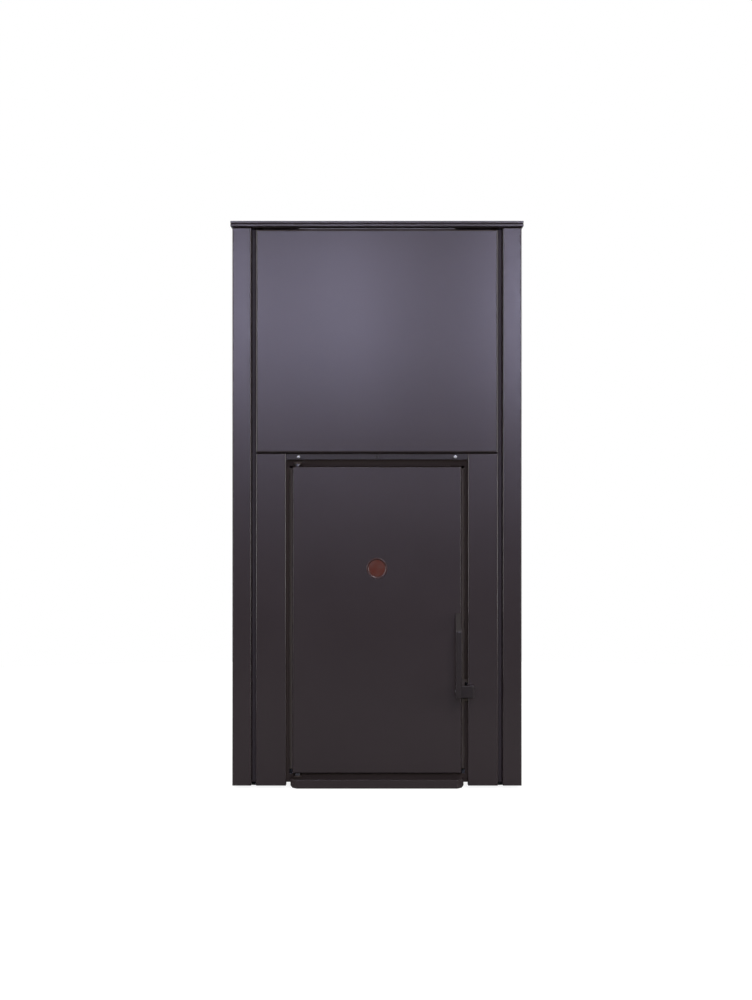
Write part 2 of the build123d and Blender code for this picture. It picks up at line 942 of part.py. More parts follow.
def hopper_lid():
    """Lid tray with its hinge knuckles."""
    _, outer = top_outline(0)
    _, inner = top_outline(lid_sheet)
    lid = plan(rect(*outer), lid_bottom, lid_height)
    lid = chamfer(lid.faces().sort_by(Axis.Z)[0].edges(), lid_chamfer)
    lid = fillet(lid.faces().sort_by(Axis.Z)[-1].edges(), lid_chamfer / 2)
    lid -= plan(rect(*inner), lid_bottom, lid_height - lid_sheet)
    y, z, half = lid_axis_y, lid_axis_z, knuckle_length / 2
    for x in (-lid_hinge_x, lid_hinge_x):
        lid += block(x - half, x + half, top_rear - lid_sheet, y, z, z + knuckle_radius)
        lid += rod(knuckle_radius, (x - half, y, z), (x + half, y, z))
        lid -= rod(lid_pin_radius + running_gap, (x - half, y, z), (x + half, y, z))
    return lid


def lid_seal():
    """Rubber seal round the hopper mouth, under the lid."""
    ring = mouth_outline(-seal_width) - mouth_outline(-1)
    return plan(ring, lid_bottom, lid_height - lid_sheet)


def lid_hinge_leaves():
    """Fixed leaves on the back, two knuckles each, with the pin welded into them."""
    leaves = []
    y, z = lid_axis_y, lid_axis_z
    half = knuckle_length / 2 + seat_gap
    reach = half + leaf_knuckle
    gap = knuckle_radius + seat_gap
    for x in (-lid_hinge_x, lid_hinge_x):
        leaf = block(x - reach, x + reach, rear, rear + sheet, z - leaf_height, z)
        leaf += rod(knuckle_radius, (x - reach, y, z), (x + reach, y, z))
        leaf -= block(x - half, x + half, y - gap, y + gap, z - gap - leaf_notch, z + gap)
        leaves.append(leaf + rod(lid_pin_radius, (x - half - past, y, z), (x + half + past, y, z)))
    return leaves


def rear_panel():
    """Flat back with pressed louvres and the service cut-outs."""
    half = half_width - sheet_bend
    panel = elevation(rect(-half, half, casing_lift, side_top), rear_inner, sheet)
    for x in (-louvre_x, louvre_x):
        for step in range(louvre_count):
            z = louvre_bottom + step * louvre_pitch
            panel = panel + louvre(x, z, 0) - louvre(x, z, sheet)
    cuts = [(flue_x(), flue_z(), flue_radius), (air_x, air_z, air_radius),
            (socket_x, flow_height, water_pipe_radius), (socket_x, return_stub_z, water_pipe_radius)]
    for x, z, radius in cuts:
        panel -= rod(radius + cutout_gap, (x, rear_inner - past, z), (x, rear + past, z))
    x, z = inlet_half_x + seat_gap, inlet_half_z + seat_gap
    return panel - block(inlet_x - x, inlet_x + x, rear_inner - past, rear + past, inlet_z - z, inlet_z + z)


def louvre(x, z, inset):
    """Straight-sided hood pressed out of the back, or the air gap under it when drawn in."""
    half = louvre_length / 2 - inset
    root = rear_inner - inset
    out = rear + louvre_rise - inset
    top = z + louvre_height - inset
    section = make_face(Polyline((root, z), (out, z), (out, z + louvre_lip), (rear, top), (root, top),
                                 close=True))
    return profile(section, x - half, 2 * half)


def door_shell():
    """Outer door pan with bevelled front edges, hinge bosses and the spindle boss."""
    t, x, z0, z1 = door_sheet, door_half, door_bottom, door_top
    pan = block(-x, x, front, door_back, z0, z1)
    face = pan.faces().sort_by(Axis.Y)[0]
    pan = chamfer(face.edges().filter_by(Axis.X), door_bevel_depth, door_top_bevel, reference=face)
    face = pan.faces().sort_by(Axis.Y)[0]
    pan = chamfer(face.edges().filter_by(Axis.Z), door_bevel_depth, door_side_bevel, reference=face)
    pan -= block(-x + t, x - t, front + t + door_bevel_depth / 2, door_back, z0 + t, z1 - t)
    pan -= block(-x + t + door_side_bevel, x - t - door_side_bevel, front + t, door_back,
                 z0 + t + door_top_bevel, z1 - t - door_top_bevel)
    for low in (z0, z1 - door_boss_length):
        pan += rod(door_boss_radius, (-door_pin_x, pin_y, low), (-door_pin_x, pin_y, low + door_boss_length))
    boss_x = handle_x - spindle_boss_shift
    pan += rod(spindle_boss_radius, (boss_x, front, handle_z), (boss_x, door_back, handle_z))
    pan = pan & block(-x, x, front, door_back, z0, z1)
    bore = door_pin_radius + running_gap
    depth = door_pin_reach + pin_bore_spare
    pan -= rod(bore, (-door_pin_x, pin_y, z0), (-door_pin_x, pin_y, z0 + depth))
    pan -= rod(bore, (-door_pin_x, pin_y, z1 - depth), (-door_pin_x, pin_y, z1))
    bore = spindle_radius + running_gap
    pan -= rod(bore, (handle_x, front - past, handle_z), (handle_x, door_back + past, handle_z))
    return pan - rod(glass_radius, (0, front - past, glass_height), (0, door_back, glass_height))


def door_inner_plate():
    """Inner pan that closes the door and stands into the firebox mouth."""
    t = inner_sheet
    x, x_raised = door_half - door_sheet - seat_gap, inner_half
    z0, z1 = door_bottom + door_sheet + seat_gap, door_top - door_sheet - seat_gap
    stand = boiler_front - rope_thickness() - seat_gap
    base = elevation(rect(-x, x, z0, z1), door_back - t, t)
    raised = block(-x_raised, x_raised, door_back - t, stand, inner_bottom, inner_top)
    raised = fillet(raised.edges().filter_by(Axis.Y), inner_corner)
    hollow = block(-x_raised + t, x_raised - t, door_back - t, stand - t, inner_bottom + t, inner_top - t)
    hollow = fillet(hollow.edges().filter_by(Axis.Y), inner_corner - t)
    pan = base + raised - hollow
    view = glass_radius - glass_tube_wall - passing_gap
    pan -= rod(view, (0, front, glass_height), (0, stand + past, glass_height))
    for low in (door_bottom, door_top - door_boss_length):
        pan -= rod(door_boss_radius + seat_gap, (-door_pin_x, pin_y, low - past),
                   (-door_pin_x, pin_y, low + door_boss_length + past))
    boss_x = handle_x - spindle_boss_shift
    return pan - rod(spindle_boss_radius + seat_gap, (boss_x, front, handle_z), (boss_x, stand, handle_z))


def rope_thickness():
    """How far the rope seal stands off the inner plate."""
    return rope_width / 2


def door_insulation():
    """Slab between the outer pan and the inner plate."""
    y0 = front + door_sheet + door_bevel_depth / 2 + seat_gap
    y1 = door_back - inner_sheet - seat_gap
    edge = door_sheet + insulation_edge
    slab = block(-insulation_left, door_half - edge, y0, y1, door_bottom + edge, door_top - edge)
    slab -= rod(glass_radius + seat_gap, (0, y0 - past, glass_height), (0, y1 + past, glass_height))
    boss_x = handle_x - spindle_boss_shift
    hole = spindle_boss_radius + passing_gap
    return slab - rod(hole, (boss_x, y0 - past, handle_z), (boss_x, y1 + past, handle_z))


def door_rope_seal():
    """Rope seal round the raised inner plate."""
    half = inner_half - rope_inset
    low, high = inner_bottom + rope_inset, inner_top - rope_inset
    w = rope_width
    outer = fillet(rect(-half, half, low, high).vertices(), inner_corner)
    inner = fillet(rect(-half + w, half - w, low + w, high - w).vertices(), rope_inner_corner)
    stand = boiler_front - rope_thickness() - seat_gap
    return elevation(outer - inner, stand, rope_thickness())


def sight_glass():
    """Round glass, set just behind the door face."""
    y = front + glass_recess
    disc = rod(glass_radius - seat_gap, (0, y, glass_height), (0, y + glass_thickness, glass_height))
    return chamfer(disc.edges().sort_by(Axis.Y)[0], glass_chamfer)


def sight_glass_ring():
    """Viewing tube from the glass to the inner plate, with its clamp flange."""
    y0 = front + glass_recess + glass_thickness + seat_gap
    y1 = door_back - inner_sheet - seat_gap
    return pipe(glass_radius - seat_gap, glass_tube_wall, (0, y0, glass_height), (0, y1, glass_height))


def hinge_bracket(level, tab_up):
    """Bracket with a rounded nose under or over the door, and its screw tab."""
    x0, x1 = -door_pin_x - bracket_half, -door_pin_x + bracket_half
    nose = rect(x0, x1, pin_y, frame_front) + Pos(-door_pin_x, pin_y) * Circle(bracket_half)
    high = header_bottom - seat_gap if tab_up else level + bracket_sheet
    low = level if tab_up else casing_lift + groove_foot
    tab = rect(x0, x1 + 2 * bracket_half, low, high)
    bracket = plan(nose, level, bracket_sheet) + elevation(tab, frame_front - bracket_sheet, bracket_sheet)
    top = level + bracket_sheet + past
    return bracket - rod(door_pin_radius, (-door_pin_x, pin_y, level - past), (-door_pin_x, pin_y, top))


def door_hinge_brackets():
    """Upper and lower hinge brackets on the plate with the door opening."""
    upper = hinge_bracket(door_top + bracket_gap, True)
    lower = hinge_bracket(door_bottom - bracket_gap - bracket_sheet, False)
    return [upper, lower]


def door_hinge_pins():
    """Upper and lower hinge pins, the lower one with the collar that carries the door."""
    x, y, r = -door_pin_x, pin_y, door_pin_radius
    collar = r + pin_collar_rise
    high = door_top + bracket_gap
    upper = rod(r, (x, y, door_top - door_pin_reach), (x, y, high + bracket_sheet))
    upper += rod(collar, (x, y, high - pin_collar), (x, y, high))
    low = door_bottom - bracket_gap
    lower = rod(r, (x, y, low - bracket_sheet), (x, y, door_bottom + door_pin_reach))
    lower += rod(collar, (x, y, low), (x, y, door_bottom - seat_gap))
    return [upper, lower]


def handle_lever():
    """Lever standing off the door, with the arm that reaches over the fascia."""
    out = front - lever_reach
    near = front - lever_tip_gap
    tip = handle_z + lever_length
    bend = tip - lever_slope
    low = handle_z - arm_height / 2
    d = lever_depth
    side = make_face(Polyline((near, tip), (near, tip - d), (out + d, bend - d / 3), (out + d, low),
                              (out, low), (out, bend), close=True))
    side = fillet([v for v in side.vertices() if abs(v.Y - bend) < d / 2], lever_bend)
    lever = profile(side, handle_x - lever_width / 2, lever_width)
    outline = rect(handle_x - arm_left, handle_x + arm_right, low, low + arm_height)
    outline = fillet(outline.vertices().sort_by(Axis.Y)[:2].sort_by(Axis.X)[0], arm_corner)
    arm = elevation(outline, front - arm_back - arm_depth, arm_depth)
    return lever + fillet(arm.faces().sort_by(Axis.Y)[0].edges(), arm_edge)


def handle_spindle():
    """Spindle through the door with the tongue on its inner end."""
    x, z, r = handle_x, handle_z, tongue_half
    y_in = frame_back + tongue_gap
    y_out = front - arm_back
    spindle = rod(spindle_radius, (x, y_out, z), (x, y_in + tongue_thickness, z))
    tongue = rect(x, x + tongue_reach, z - r * 0.7, z + r * 0.7)
    tongue = fillet(tongue.vertices().sort_by(Axis.X)[-2:], r / 3) + Pos(x, z) * Circle(r)
    washer = rod(spindle_radius + spindle_washer_rise, (x, y_out, z), (x, front - passing_gap, z))
    return spindle + elevation(tongue, y_in, tongue_thickness) + washer


def roller_catch():
    """Catch behind the frame: a roller between two ears, facing the tongue."""
    x = handle_x + tongue_reach + roller_gap + roller_radius
    y = frame_back + tongue_gap + tongue_thickness / 2
    low, high = handle_z - catch_height / 2, handle_z + catch_height / 2
    x_base = x + roller_radius
    base = rect(x_base, x_base + catch_length, low, high)
    catch = elevation(base, frame_back, catch_sheet)
    ear_radius = roller_radius * 0.8
    ear = rect(x, x_base + catch_length / 2, frame_back, y + ear_radius) + Pos(x, y) * Circle(ear_radius)
    for z in (low, high - catch_sheet):
        catch += plan(ear, z, catch_sheet)
    return catch + rod(roller_radius, (x, y, low), (x, y, high))


def tube_places():
    """Centres of the fire tubes, row by row."""
    first = -(tube_columns - 1) / 2 * tube_pitch
    row = [first + i * tube_pitch for i in range(tube_columns)]
    return [(x, y) for y in (tube_row_front, tube_row_rear) for x in row]


def chute_points():
    """Ends and corner of the drop chute, from the feed tube down into the firebox."""
    slope = math.tan(math.radians(chute_slope))
    end_z = chute_bend_z - (chute_y - chute_end_y) * slope
    return (0, chute_y, feed_axis_z(chute_y)), (0, chute_y, chute_bend_z), (0, chute_end_y, end_z)


def chute_passage(radius):
    """Round bar along the sloping part of the chute, through the boiler body."""
    _, corner, end = chute_points()
    corner, end = Vector(*corner), Vector(*end)
    along = (end - corner).normalized()
    return rod(radius, corner + along * passage_start, end + along * passage_run_on)


def boiler_walls():
    """Gas spaces of the boiler with their plates, which the water goes round."""
    p = plate
    duct_half = duct_width / 2 + p
    duct_rear = boiler_rear - duct_cover
    x = firebox_half + p
    walls = block(-x, x, boiler_front, firebox_rear + p, firebox_bottom - p, firebox_top + p)
    walls += block(duct_x - duct_half, duct_x + duct_half, duct_rear - duct_depth - p, boiler_rear,
                   duct_bottom - p, smoke_box_bottom)
    x = smoke_box_half + p
    walls += block(-x, x, smoke_box_front - p, duct_rear + p, smoke_box_bottom - p, boiler_top)
    walls += chute_passage(chute_radius + seat_gap + p)
    y, z = crank_y, crank_height
    walls += rod(crank_boss_radius, (-boiler_half, y, z), (-smoke_box_half, y, z))
    for x, y in tube_places():
        walls += rod(tube_radius, (x, y, firebox_top), (x, y, smoke_box_bottom))
    return walls


def boiler_spaces():
    """Gas spaces of the boiler and the holes that lead into them."""
    half = duct_width / 2
    duct_rear = boiler_rear - duct_cover
    x = firebox_half
    spaces = [block(-x, x, boiler_front, firebox_rear, firebox_bottom, firebox_top)]
    spaces.append(block(duct_x - half, duct_x + half, duct_rear - duct_depth, duct_rear,
                        duct_bottom, smoke_box_bottom))
    x = smoke_box_half
    spaces.append(block(-x, x, smoke_box_front, duct_rear, smoke_box_bottom, boiler_top))
    spaces.append(chute_passage(chute_radius + seat_gap))
    bore = tube_radius - tube_wall
    for x, y in tube_places():
        spaces.append(rod(bore, (x, y, firebox_top - past), (x, y, smoke_box_bottom + past)))
    y, z = crank_y, crank_height
    bore = crank_shaft_radius + crank_hole_gap
    spaces.append(rod(bore, (-boiler_half - past, y, z), (-smoke_box_half + past, y, z)))
    spaces.append(rod(inlet_radius, (duct_x, duct_rear - past, fan_z), (duct_x, boiler_rear + past, fan_z)))
    return spaces


def boiler_body():
    """Water-jacketed body: firebox, fire tubes, smoke box, rear flue duct and sockets."""
    x, j, r = boiler_half, jacket, water_pipe_radius
    end = boiler_rear + socket_length
    body = block(-x, x, boiler_front, boiler_rear, boiler_bottom, boiler_top)
    for z in (flow_height, return_height):
        body += rod(r + socket_wall, (socket_x, boiler_rear, z), (socket_x, end, z))
    water = block(-x + j, x - j, boiler_front + front_plate, boiler_rear - j,
                  boiler_bottom + j, boiler_top - j)
    body -= water - boiler_walls()
    for space in boiler_spaces():
        body -= space
    for z in (flow_height, return_height):
        body -= rod(r - water_pipe_wall, (socket_x, boiler_rear - j - past, z), (socket_x, end, z))
        body -= rod(r + seat_gap, (socket_x, boiler_rear + socket_stop, z), (socket_x, end + past, z))
    return body


def smoke_box_cover():
    """Insulated cover over the smoke box, with its strap handle."""
    y0 = smoke_box_front - plate
    y1 = boiler_rear - duct_cover + plate
    x = smoke_box_half + cover_lap
    top = boiler_top + cover_thickness
    cover = block(-x, x, y0, y1, boiler_top, top)
    cover = chamfer(cover.faces().sort_by(Axis.Z)[-1].edges(), cover_chamfer)
    half, high = cover_handle_half, top + cover_handle_rise
    line = [(-half, top - past), (-half, high), (half, high), (half, top - past)]
    strap = folded_sheet(line, cover_handle_sheet, cover_handle_bend)
    middle = (y0 + y1) / 2
    return cover + elevation(strap, middle - cover_handle_width / 2, cover_handle_width)


def firebox_lining():
    """Lining plates on a shelf with legs, with the seat for the pot."""
    x, t = firebox_half - lining_gap, lining_thickness
    y0 = boiler_front + lining_thickness
    y1 = firebox_rear - lining_gap
    shelf_top = shelf_level + shelf_thickness
    lining = plan(rect(-x, x, y0, y1) - rect(-x + t, x - t, y0, y1 - t), shelf_top, lining_top - shelf_top)
    seat = pot_top_half + seat_gap
    shelf = rect(-x, x, y0, y1) - rect(-seat, seat, pot_y - seat, pot_y + seat)
    lining += plan(shelf, shelf_level, shelf_thickness)
    leg = block(x - shelf_leg, x, y0, y1, firebox_bottom + seat_gap, shelf_level)
    return lining + leg + mirrored(leg)


def pot_square(half, z):
    """Level square about the pot's middle line."""
    return -half, half, pot_y - half, pot_y + half, z


def burner_pot():
    """Tapered cast pot with rows of air holes and a flange that hangs on the shelf."""
    top = shelf_level + shelf_thickness + seat_gap
    bottom = top - pot_height
    a, b, w, r = pot_top_half - passing_gap, pot_bottom_half, pot_wall, pot_hole_radius
    brim = a + pot_flange
    flange = rect(-brim, brim, pot_y - brim, pot_y + brim)
    flange -= rect(-a + w, a - w, pot_y - a + w, pot_y + a - w)
    pot = tapered(pot_square(b, bottom), pot_square(a, top)) + plan(flange, top, pot_flange_thickness)
    pot -= tapered(pot_square(b - w, bottom + w), pot_square(a - w, top + past))
    z = bottom + pot_hole_lift
    for i in (-1, 0, 1):
        x, y = i * pot_hole_pitch, pot_y + i * pot_hole_pitch
        pot -= rod(r, (x, pot_y - a - past, z), (x, pot_y - b + w, z))
        pot -= rod(r, (-a - past, y, z), (a + past, y, z))
        for k in (-1, 0, 1):
            y = pot_y + k * pot_hole_pitch
            pot -= rod(r, (x, y, bottom - past), (x, y, bottom + w + past))
    z = rod_level()
    return pot - rod(rod_radius + passing_gap, (0, pot_y, z), (0, pot_y + a + past, z))


def rod_level():
    """Height of the ignition rod."""
    return shelf_level - rod_drop


def ignition_rod():
    """Hot rod from the back of the firebox to the pot, with its flange."""
    z = rod_level()
    tip = pot_y + (pot_top_half + pot_bottom_half) / 2
    y_back = firebox_rear - seat_gap
    heater = rod(rod_radius, (0, tip, z), (0, y_back, z))
    return heater + rod(rod_flange_radius, (0, y_back - rod_flange, z), (0, y_back, z))


def ash_drawer():
    """Open drawer under the shelf, with a folded grip."""
    x, w = drawer_half, drawer_wall
    y0 = boiler_front + drawer_front_gap
    y1 = y0 + drawer_length
    z0 = firebox_bottom + seat_gap
    z1 = z0 + drawer_height
    box = fillet(block(-x, x, y0, y1, z0, z1).edges().filter_by(Axis.Z), drawer_corner)
    hollow = block(-x + w, x - w, y0 + w, y1 - w, z0 + w, z1)
    box -= fillet(hollow.edges().filter_by(Axis.Z), drawer_corner - w)
    out = y0 - drawer_grip_reach
    half, grip_z = drawer_grip_half, z1 - drawer_grip_drop
    box += block(-half, half, out, y0, grip_z, grip_z + w)
    return box + block(-half, half, out, out + w, grip_z - drawer_grip_lip, grip_z)


def turbulator(x, y):
    """Hanging strip with tilted vanes, for one fire tube."""
    low = rack_rest - turbulator_length
    neck = smoke_box_bottom - turbulator_neck
    t, half = turbulator_sheet / 2, turbulator_width / 2
    strip = block(x - t, x + t, y - half, y + half, low, neck)
    strip += block(x - t, x + t, y - turbulator_neck_half, y + turbulator_neck_half, neck, rack_rest)
    step = (neck - low) / turbulator_vanes
    for i in range(turbulator_vanes):
        tilt = vane_tilt if i % 2 else -vane_tilt
        vane = Rot(Y=tilt) * Box(vane_width, vane_depth, turbulator_sheet)
        strip += Pos(x, y, low + (i + 0.5) * step) * vane
    return strip


def turbulator_rack():
    """Rack bars with the turbulators and the slotted link plate."""
    half = rack_bar / 2
    reach = tube_places()[-1][0] + half
    top = rack_rest + rack_sheet
    rack = block(-reach, reach, tube_row_front - half, tube_row_front + half, rack_rest, top)
    rack += block(-reach, reach, tube_row_rear - half, tube_row_rear + half, rack_rest, top)
    for x, _ in tube_places()[tube_columns // 2:tube_columns]:
        rack += block(x - half, x + half, tube_row_front, tube_row_rear, rack_rest, top)
    pin_y0 = crank_y + crank_arm
    link = rect(pin_y0 - link_reach, tube_row_rear + half, top, top + link_height)
    slot_half = crank_pin_radius + crank_pin_gap
    swing = crank_arm - math.sqrt(crank_arm ** 2 - crank_travel ** 2)
    slot_length = 2 * (slot_half + swing) + passing_gap
    link -= Pos(pin_y0 - swing / 2, crank_height) * SlotOverall(slot_length, 2 * slot_half)
    rack += profile(link, crank_arm_x + crank_arm_sheet + link_gap, link_sheet)
    for x, y in tube_places():
        rack += turbulator(x, y)
    return rack


def cleaning_crank():
    """Shaft through the smoke box wall, with an arm and pin for the link plate."""
    y, z, half = crank_y, crank_height, crank_arm_half
    start = -boiler_half - gear_box_depth + crank_hub_radius
    end = crank_arm_x + crank_arm_sheet
    pin_at = y + crank_arm
    arm = Pos(y, z) * Circle(crank_hub_radius) + Pos(pin_at, z) * Circle(half)
    arm += rect(y, pin_at, z - half, z + half)
    crank = rod(crank_shaft_radius, (start, y, z), (end, y, z)) + profile(arm, crank_arm_x, crank_arm_sheet)
    return crank + rod(crank_pin_radius, (end, pin_at, z), (end + crank_pin_length, pin_at, z))


def cleaning_gearmotor():
    """Gearmotor that turns the crank, on the left side of the boiler body."""
    y, z = crank_y, crank_height
    x1 = -boiler_half - seat_gap
    x0 = x1 - gear_box_depth
    gear = block(x0, x1, y - gear_box_half_y, y + gear_box_half_y, z - gear_box_half_z, z + gear_box_half_z)
    gear = fillet(gear.edges().filter_by(Axis.X), gear_box_corner)
    gear -= rod(crank_shaft_radius + running_gap, (x0 + gear_box_wall, y, z), (x1 + past, y, z))
    motor = rod(cleaning_motor_radius, (x0, y, z), (x0 - cleaning_motor_length, y, z))
    return gear + chamfer(motor.edges().sort_by(Axis.X)[0], motor_chamfer)


def feed_axis_z(y):
    """Height of the feed tube's middle line at a depth."""
    return feed_foot_z + (feed_foot_y - y) * math.tan(math.radians(feed_angle))


def feed_plane(distance):
    """Drawing plane square to the feed tube, a distance up from its foot."""
    a = math.radians(feed_angle)
    along = Vector(0, -math.cos(a), math.sin(a))
    origin = Vector(0, feed_foot_y, feed_foot_z) + along * distance
    return Plane(origin=origin, x_dir=(1, 0, 0), z_dir=along)


def feed_bar(radius, start, end):
    """Round bar along the feed tube."""
    return extrude(feed_plane(start) * Circle(radius), end - start)


def auger_tube():
    """Sloping feed tube with its pellet inlet, outlet and end plates."""
    side = 2 * feed_motor_half
    tube = feed_bar(feed_tube_radius, 0, feed_tube_length)
    tube += extrude(feed_plane(feed_tube_length - feed_plate) * Rectangle(side, side), feed_plate)
    tube -= feed_bar(feed_tube_radius - feed_tube_wall, feed_plate, feed_tube_length + past)
    neck = hopper_neck_half - hopper_sheet - passing_gap
    y, z = hopper_neck_y, feed_axis_z(hopper_neck_y)
    tube -= block(-neck, neck, y - neck, y + neck, z, z + 3 * feed_tube_radius)
    z = feed_axis_z(chute_y)
    return tube - rod(chute_radius - chute_wall, (0, chute_y, z), (0, chute_y, z - 3 * feed_tube_radius))


def auger_screw():
    """Feed screw: one flight wound round a shaft."""
    start = feed_plate + flight_foot_gap
    end = feed_tube_length - flight_head_gap
    inner = screw_shaft_radius - past
    path = Helix(pitch=screw_pitch, height=end - start, radius=(screw_radius + inner) / 2)
    start_plane = Plane(origin=path @ 0, x_dir=(1, 0, 0), z_dir=path % 0)
    section = start_plane * Rectangle(screw_radius - inner, screw_flight)
    screw = feed_plane(start).location * sweep(section, path=path, is_frenet=True)
    return screw + feed_bar(screw_shaft_radius, feed_plate + seat_gap, feed_tube_length + feed_shaft_reach)


def auger_gearmotor():
    """Gearmotor with a ribbed motor on the upper end of the feed tube."""
    start = feed_tube_length + seat_gap
    side = 2 * feed_motor_half
    gear = extrude(feed_plane(start) * RectangleRounded(side, side, feed_gear_corner), feed_gear_length)
    bore_end = feed_tube_length + feed_shaft_reach + passing_gap
    gear -= feed_bar(screw_shaft_radius + running_gap, start - past, bore_end)
    top = start + feed_gear_length
    motor = feed_bar(feed_motor_radius, top, top + feed_motor_length)
    for i in range(feed_motor_ribs):
        at = top + motor_rib_start + i * motor_rib_pitch
        motor += feed_bar(feed_motor_radius + motor_rib_rise, at, at + motor_rib)
    return gear + motor


def drop_chute():
    """Mitred tube from the feed tube down through the jacket into the firebox."""
    tube = mitred(chute_radius, *chute_points()) - mitred(chute_radius - chute_wall, *chute_points())
    return tube - feed_bar(feed_tube_radius + seat_gap, -past, feed_tube_length + past)


def hopper_shape(inset):
    """Solid of the hopper, drawn in by a distance."""
    half, neck = hopper_half - inset, hopper_neck_half - inset
    upper = (-half, half, hopper_front + inset, hopper_rear - inset)
    lower = (-neck, neck, hopper_neck_y - neck, hopper_neck_y + neck)
    top = top_level - top_deck - seat_gap
    bottom = feed_axis_z(hopper_neck_y + hopper_neck_half)
    body = plan(rect(*upper), hopper_shoulder, top - hopper_shoulder)
    body += tapered((*lower, hopper_neck_level), (*upper, hopper_shoulder))
    return body + plan(rect(*lower), bottom, hopper_neck_level - bottom)


def hopper():
    """Sheet hopper: upright walls, funnel, neck on the feed tube and a top flange."""
    top = top_level - top_deck - seat_gap
    f = hopper_flange
    flange = rect(-hopper_half - f, hopper_half + f, hopper_front - f, hopper_rear + f)
    body = hopper_shape(0) + plan(flange, top - hopper_sheet, hopper_sheet)
    body -= hopper_shape(hopper_sheet)
    below = rect(-hopper_half, hopper_half, -4 * hopper_neck_half, 0)
    body -= extrude(feed_plane(0) * below, feed_tube_length)
    return body - feed_bar(feed_tube_radius + seat_gap, -past, feed_tube_length)


def hopper_grille():
    """Guard grid in the hopper mouth, on its own frame."""
    g, f = hopper_sheet + seat_gap, grille_frame
    z = top_level - grille_drop
    x, y0, y1 = hopper_half - g, hopper_front + g, hopper_rear - g
    frame = rect(-x, x, y0, y1) - rect(-x + f, x - f, y0 + f, y1 - f)
    grille = plan(frame, z, grille_bar)
    step = 2 * x / (grille_cross_bars + 1)
    for i in range(grille_cross_bars):
        bar_x = -x + (i + 1) * step
        grille += block(bar_x - grille_bar, bar_x + grille_bar, y0, y1, z, z + grille_bar)
    return grille


def flue_x():
    """Middle of the flue spigot, right of the fan."""
    return duct_x + scroll_outlet + flue_box / 2


def flue_z():
    """Level of the flue spigot."""
    return fan_z - flue_drop


def collector_rear():
    """Rear face of the collector box beside the scroll."""
    return boiler_rear + seat_gap + scroll_depth + collector_depth


def scroll_outline(grow):
    """Fan scroll of four quarter arcs of growing radius, with a straight outlet."""
    s, r = scroll_step, scroll_radius + grow
    centres = [(0, 0), (-s, 0), (-s, -s), (0, -s)]
    edges = []
    for i, (cx, cy) in enumerate(centres):
        edges.append(CenterArc((duct_x + cx, fan_z + cy), r + s * i, -90 + 90 * i, 90))
    start = Vector(duct_x, fan_z - r)
    end = Vector(duct_x, fan_z - r - 4 * s)
    far = duct_x + scroll_outlet + scroll_wall
    edges += [Line(end, (far, end.Y)), Line((far, end.Y), (far, start.Y)), Line((far, start.Y), start)]
    return make_face(Wire(edges))


def fan_housing():
    """Scroll of the exhaust fan with the collector box that its outlet opens into."""
    w = scroll_wall
    y0, y2 = boiler_rear + seat_gap, collector_rear()
    y1 = y0 + scroll_depth
    x, x0, z = flue_x(), duct_x + scroll_outlet, flue_z()
    x1 = x0 + flue_box
    z0, z1 = z - flue_box / 2, z + flue_box / 2
    body = elevation(scroll_outline(0), y0, scroll_depth) + block(x0, x1, y0, y2, z0, z1)
    body -= elevation(scroll_outline(-w), y0 + w, scroll_depth - 2 * w)
    body -= block(x0 + w, x1 - w, y0 + w, y2 - w, z0 + w, z1 - w)
    body -= rod(flue_radius - flue_wall, (x, y2 - w - past, z), (x, y2 + past, z))
    body -= rod(inlet_radius, (duct_x, y0 - past, fan_z), (duct_x, y0 + w + past, fan_z))
    bore = fan_shaft_radius + running_gap
    return body - rod(bore, (duct_x, y1 - w - past, fan_z), (duct_x, y1 + past, fan_z))


def flue_spigot():
    """Round flue spigot with the flange on the collector box."""
    y = collector_rear() + seat_gap
    x, z = flue_x(), flue_z()
    wide = flue_flange_radius
    flange = pipe(wide, wide - flue_radius + flue_wall, (x, y, z), (x, y + flue_flange, z))
    return spigot(flue_radius, flue_wall, x, z, y, rear + flue_reach) + flange


def fan_blade():
    """One backward curved blade, as an arc of sheet."""
    inner, outer = blade_inner_radius, impeller_radius - past
    arc = ThreePointArc((inner, 0), ((inner + outer) / 2, blade_bow), (outer, blade_sweep))
    return make_face(arc.offset_2d(blade_sheet, side=Side.LEFT, closed=True))


def fan_impeller():
    """Impeller: back plate, hub, curved blades and the motor shaft."""
    y1 = boiler_rear + seat_gap + scroll_depth - scroll_wall - impeller_gap
    y0 = y1 - blade_sheet
    wheel = rod(impeller_radius, (duct_x, y0, fan_z), (duct_x, y1, fan_z))
    wheel += rod(impeller_hub, (duct_x, y0 - hub_length, fan_z), (duct_x, y1, fan_z))
    blade = extrude(fan_blade(), blade_depth)
    back = Plane(origin=(duct_x, y0, fan_z), x_dir=(1, 0, 0), z_dir=(0, -1, 0))
    for i in range(impeller_blades):
        wheel += back.location * Rot(Z=360 / impeller_blades * i) * blade
    shaft_end = fan_motor_front() + fan_shaft_seat
    return wheel + rod(fan_shaft_radius, (duct_x, y1, fan_z), (duct_x, shaft_end, fan_z))


def fan_motor_front():
    """Front face of the fan motor."""
    return boiler_rear + seat_gap + scroll_depth + fan_motor_gap


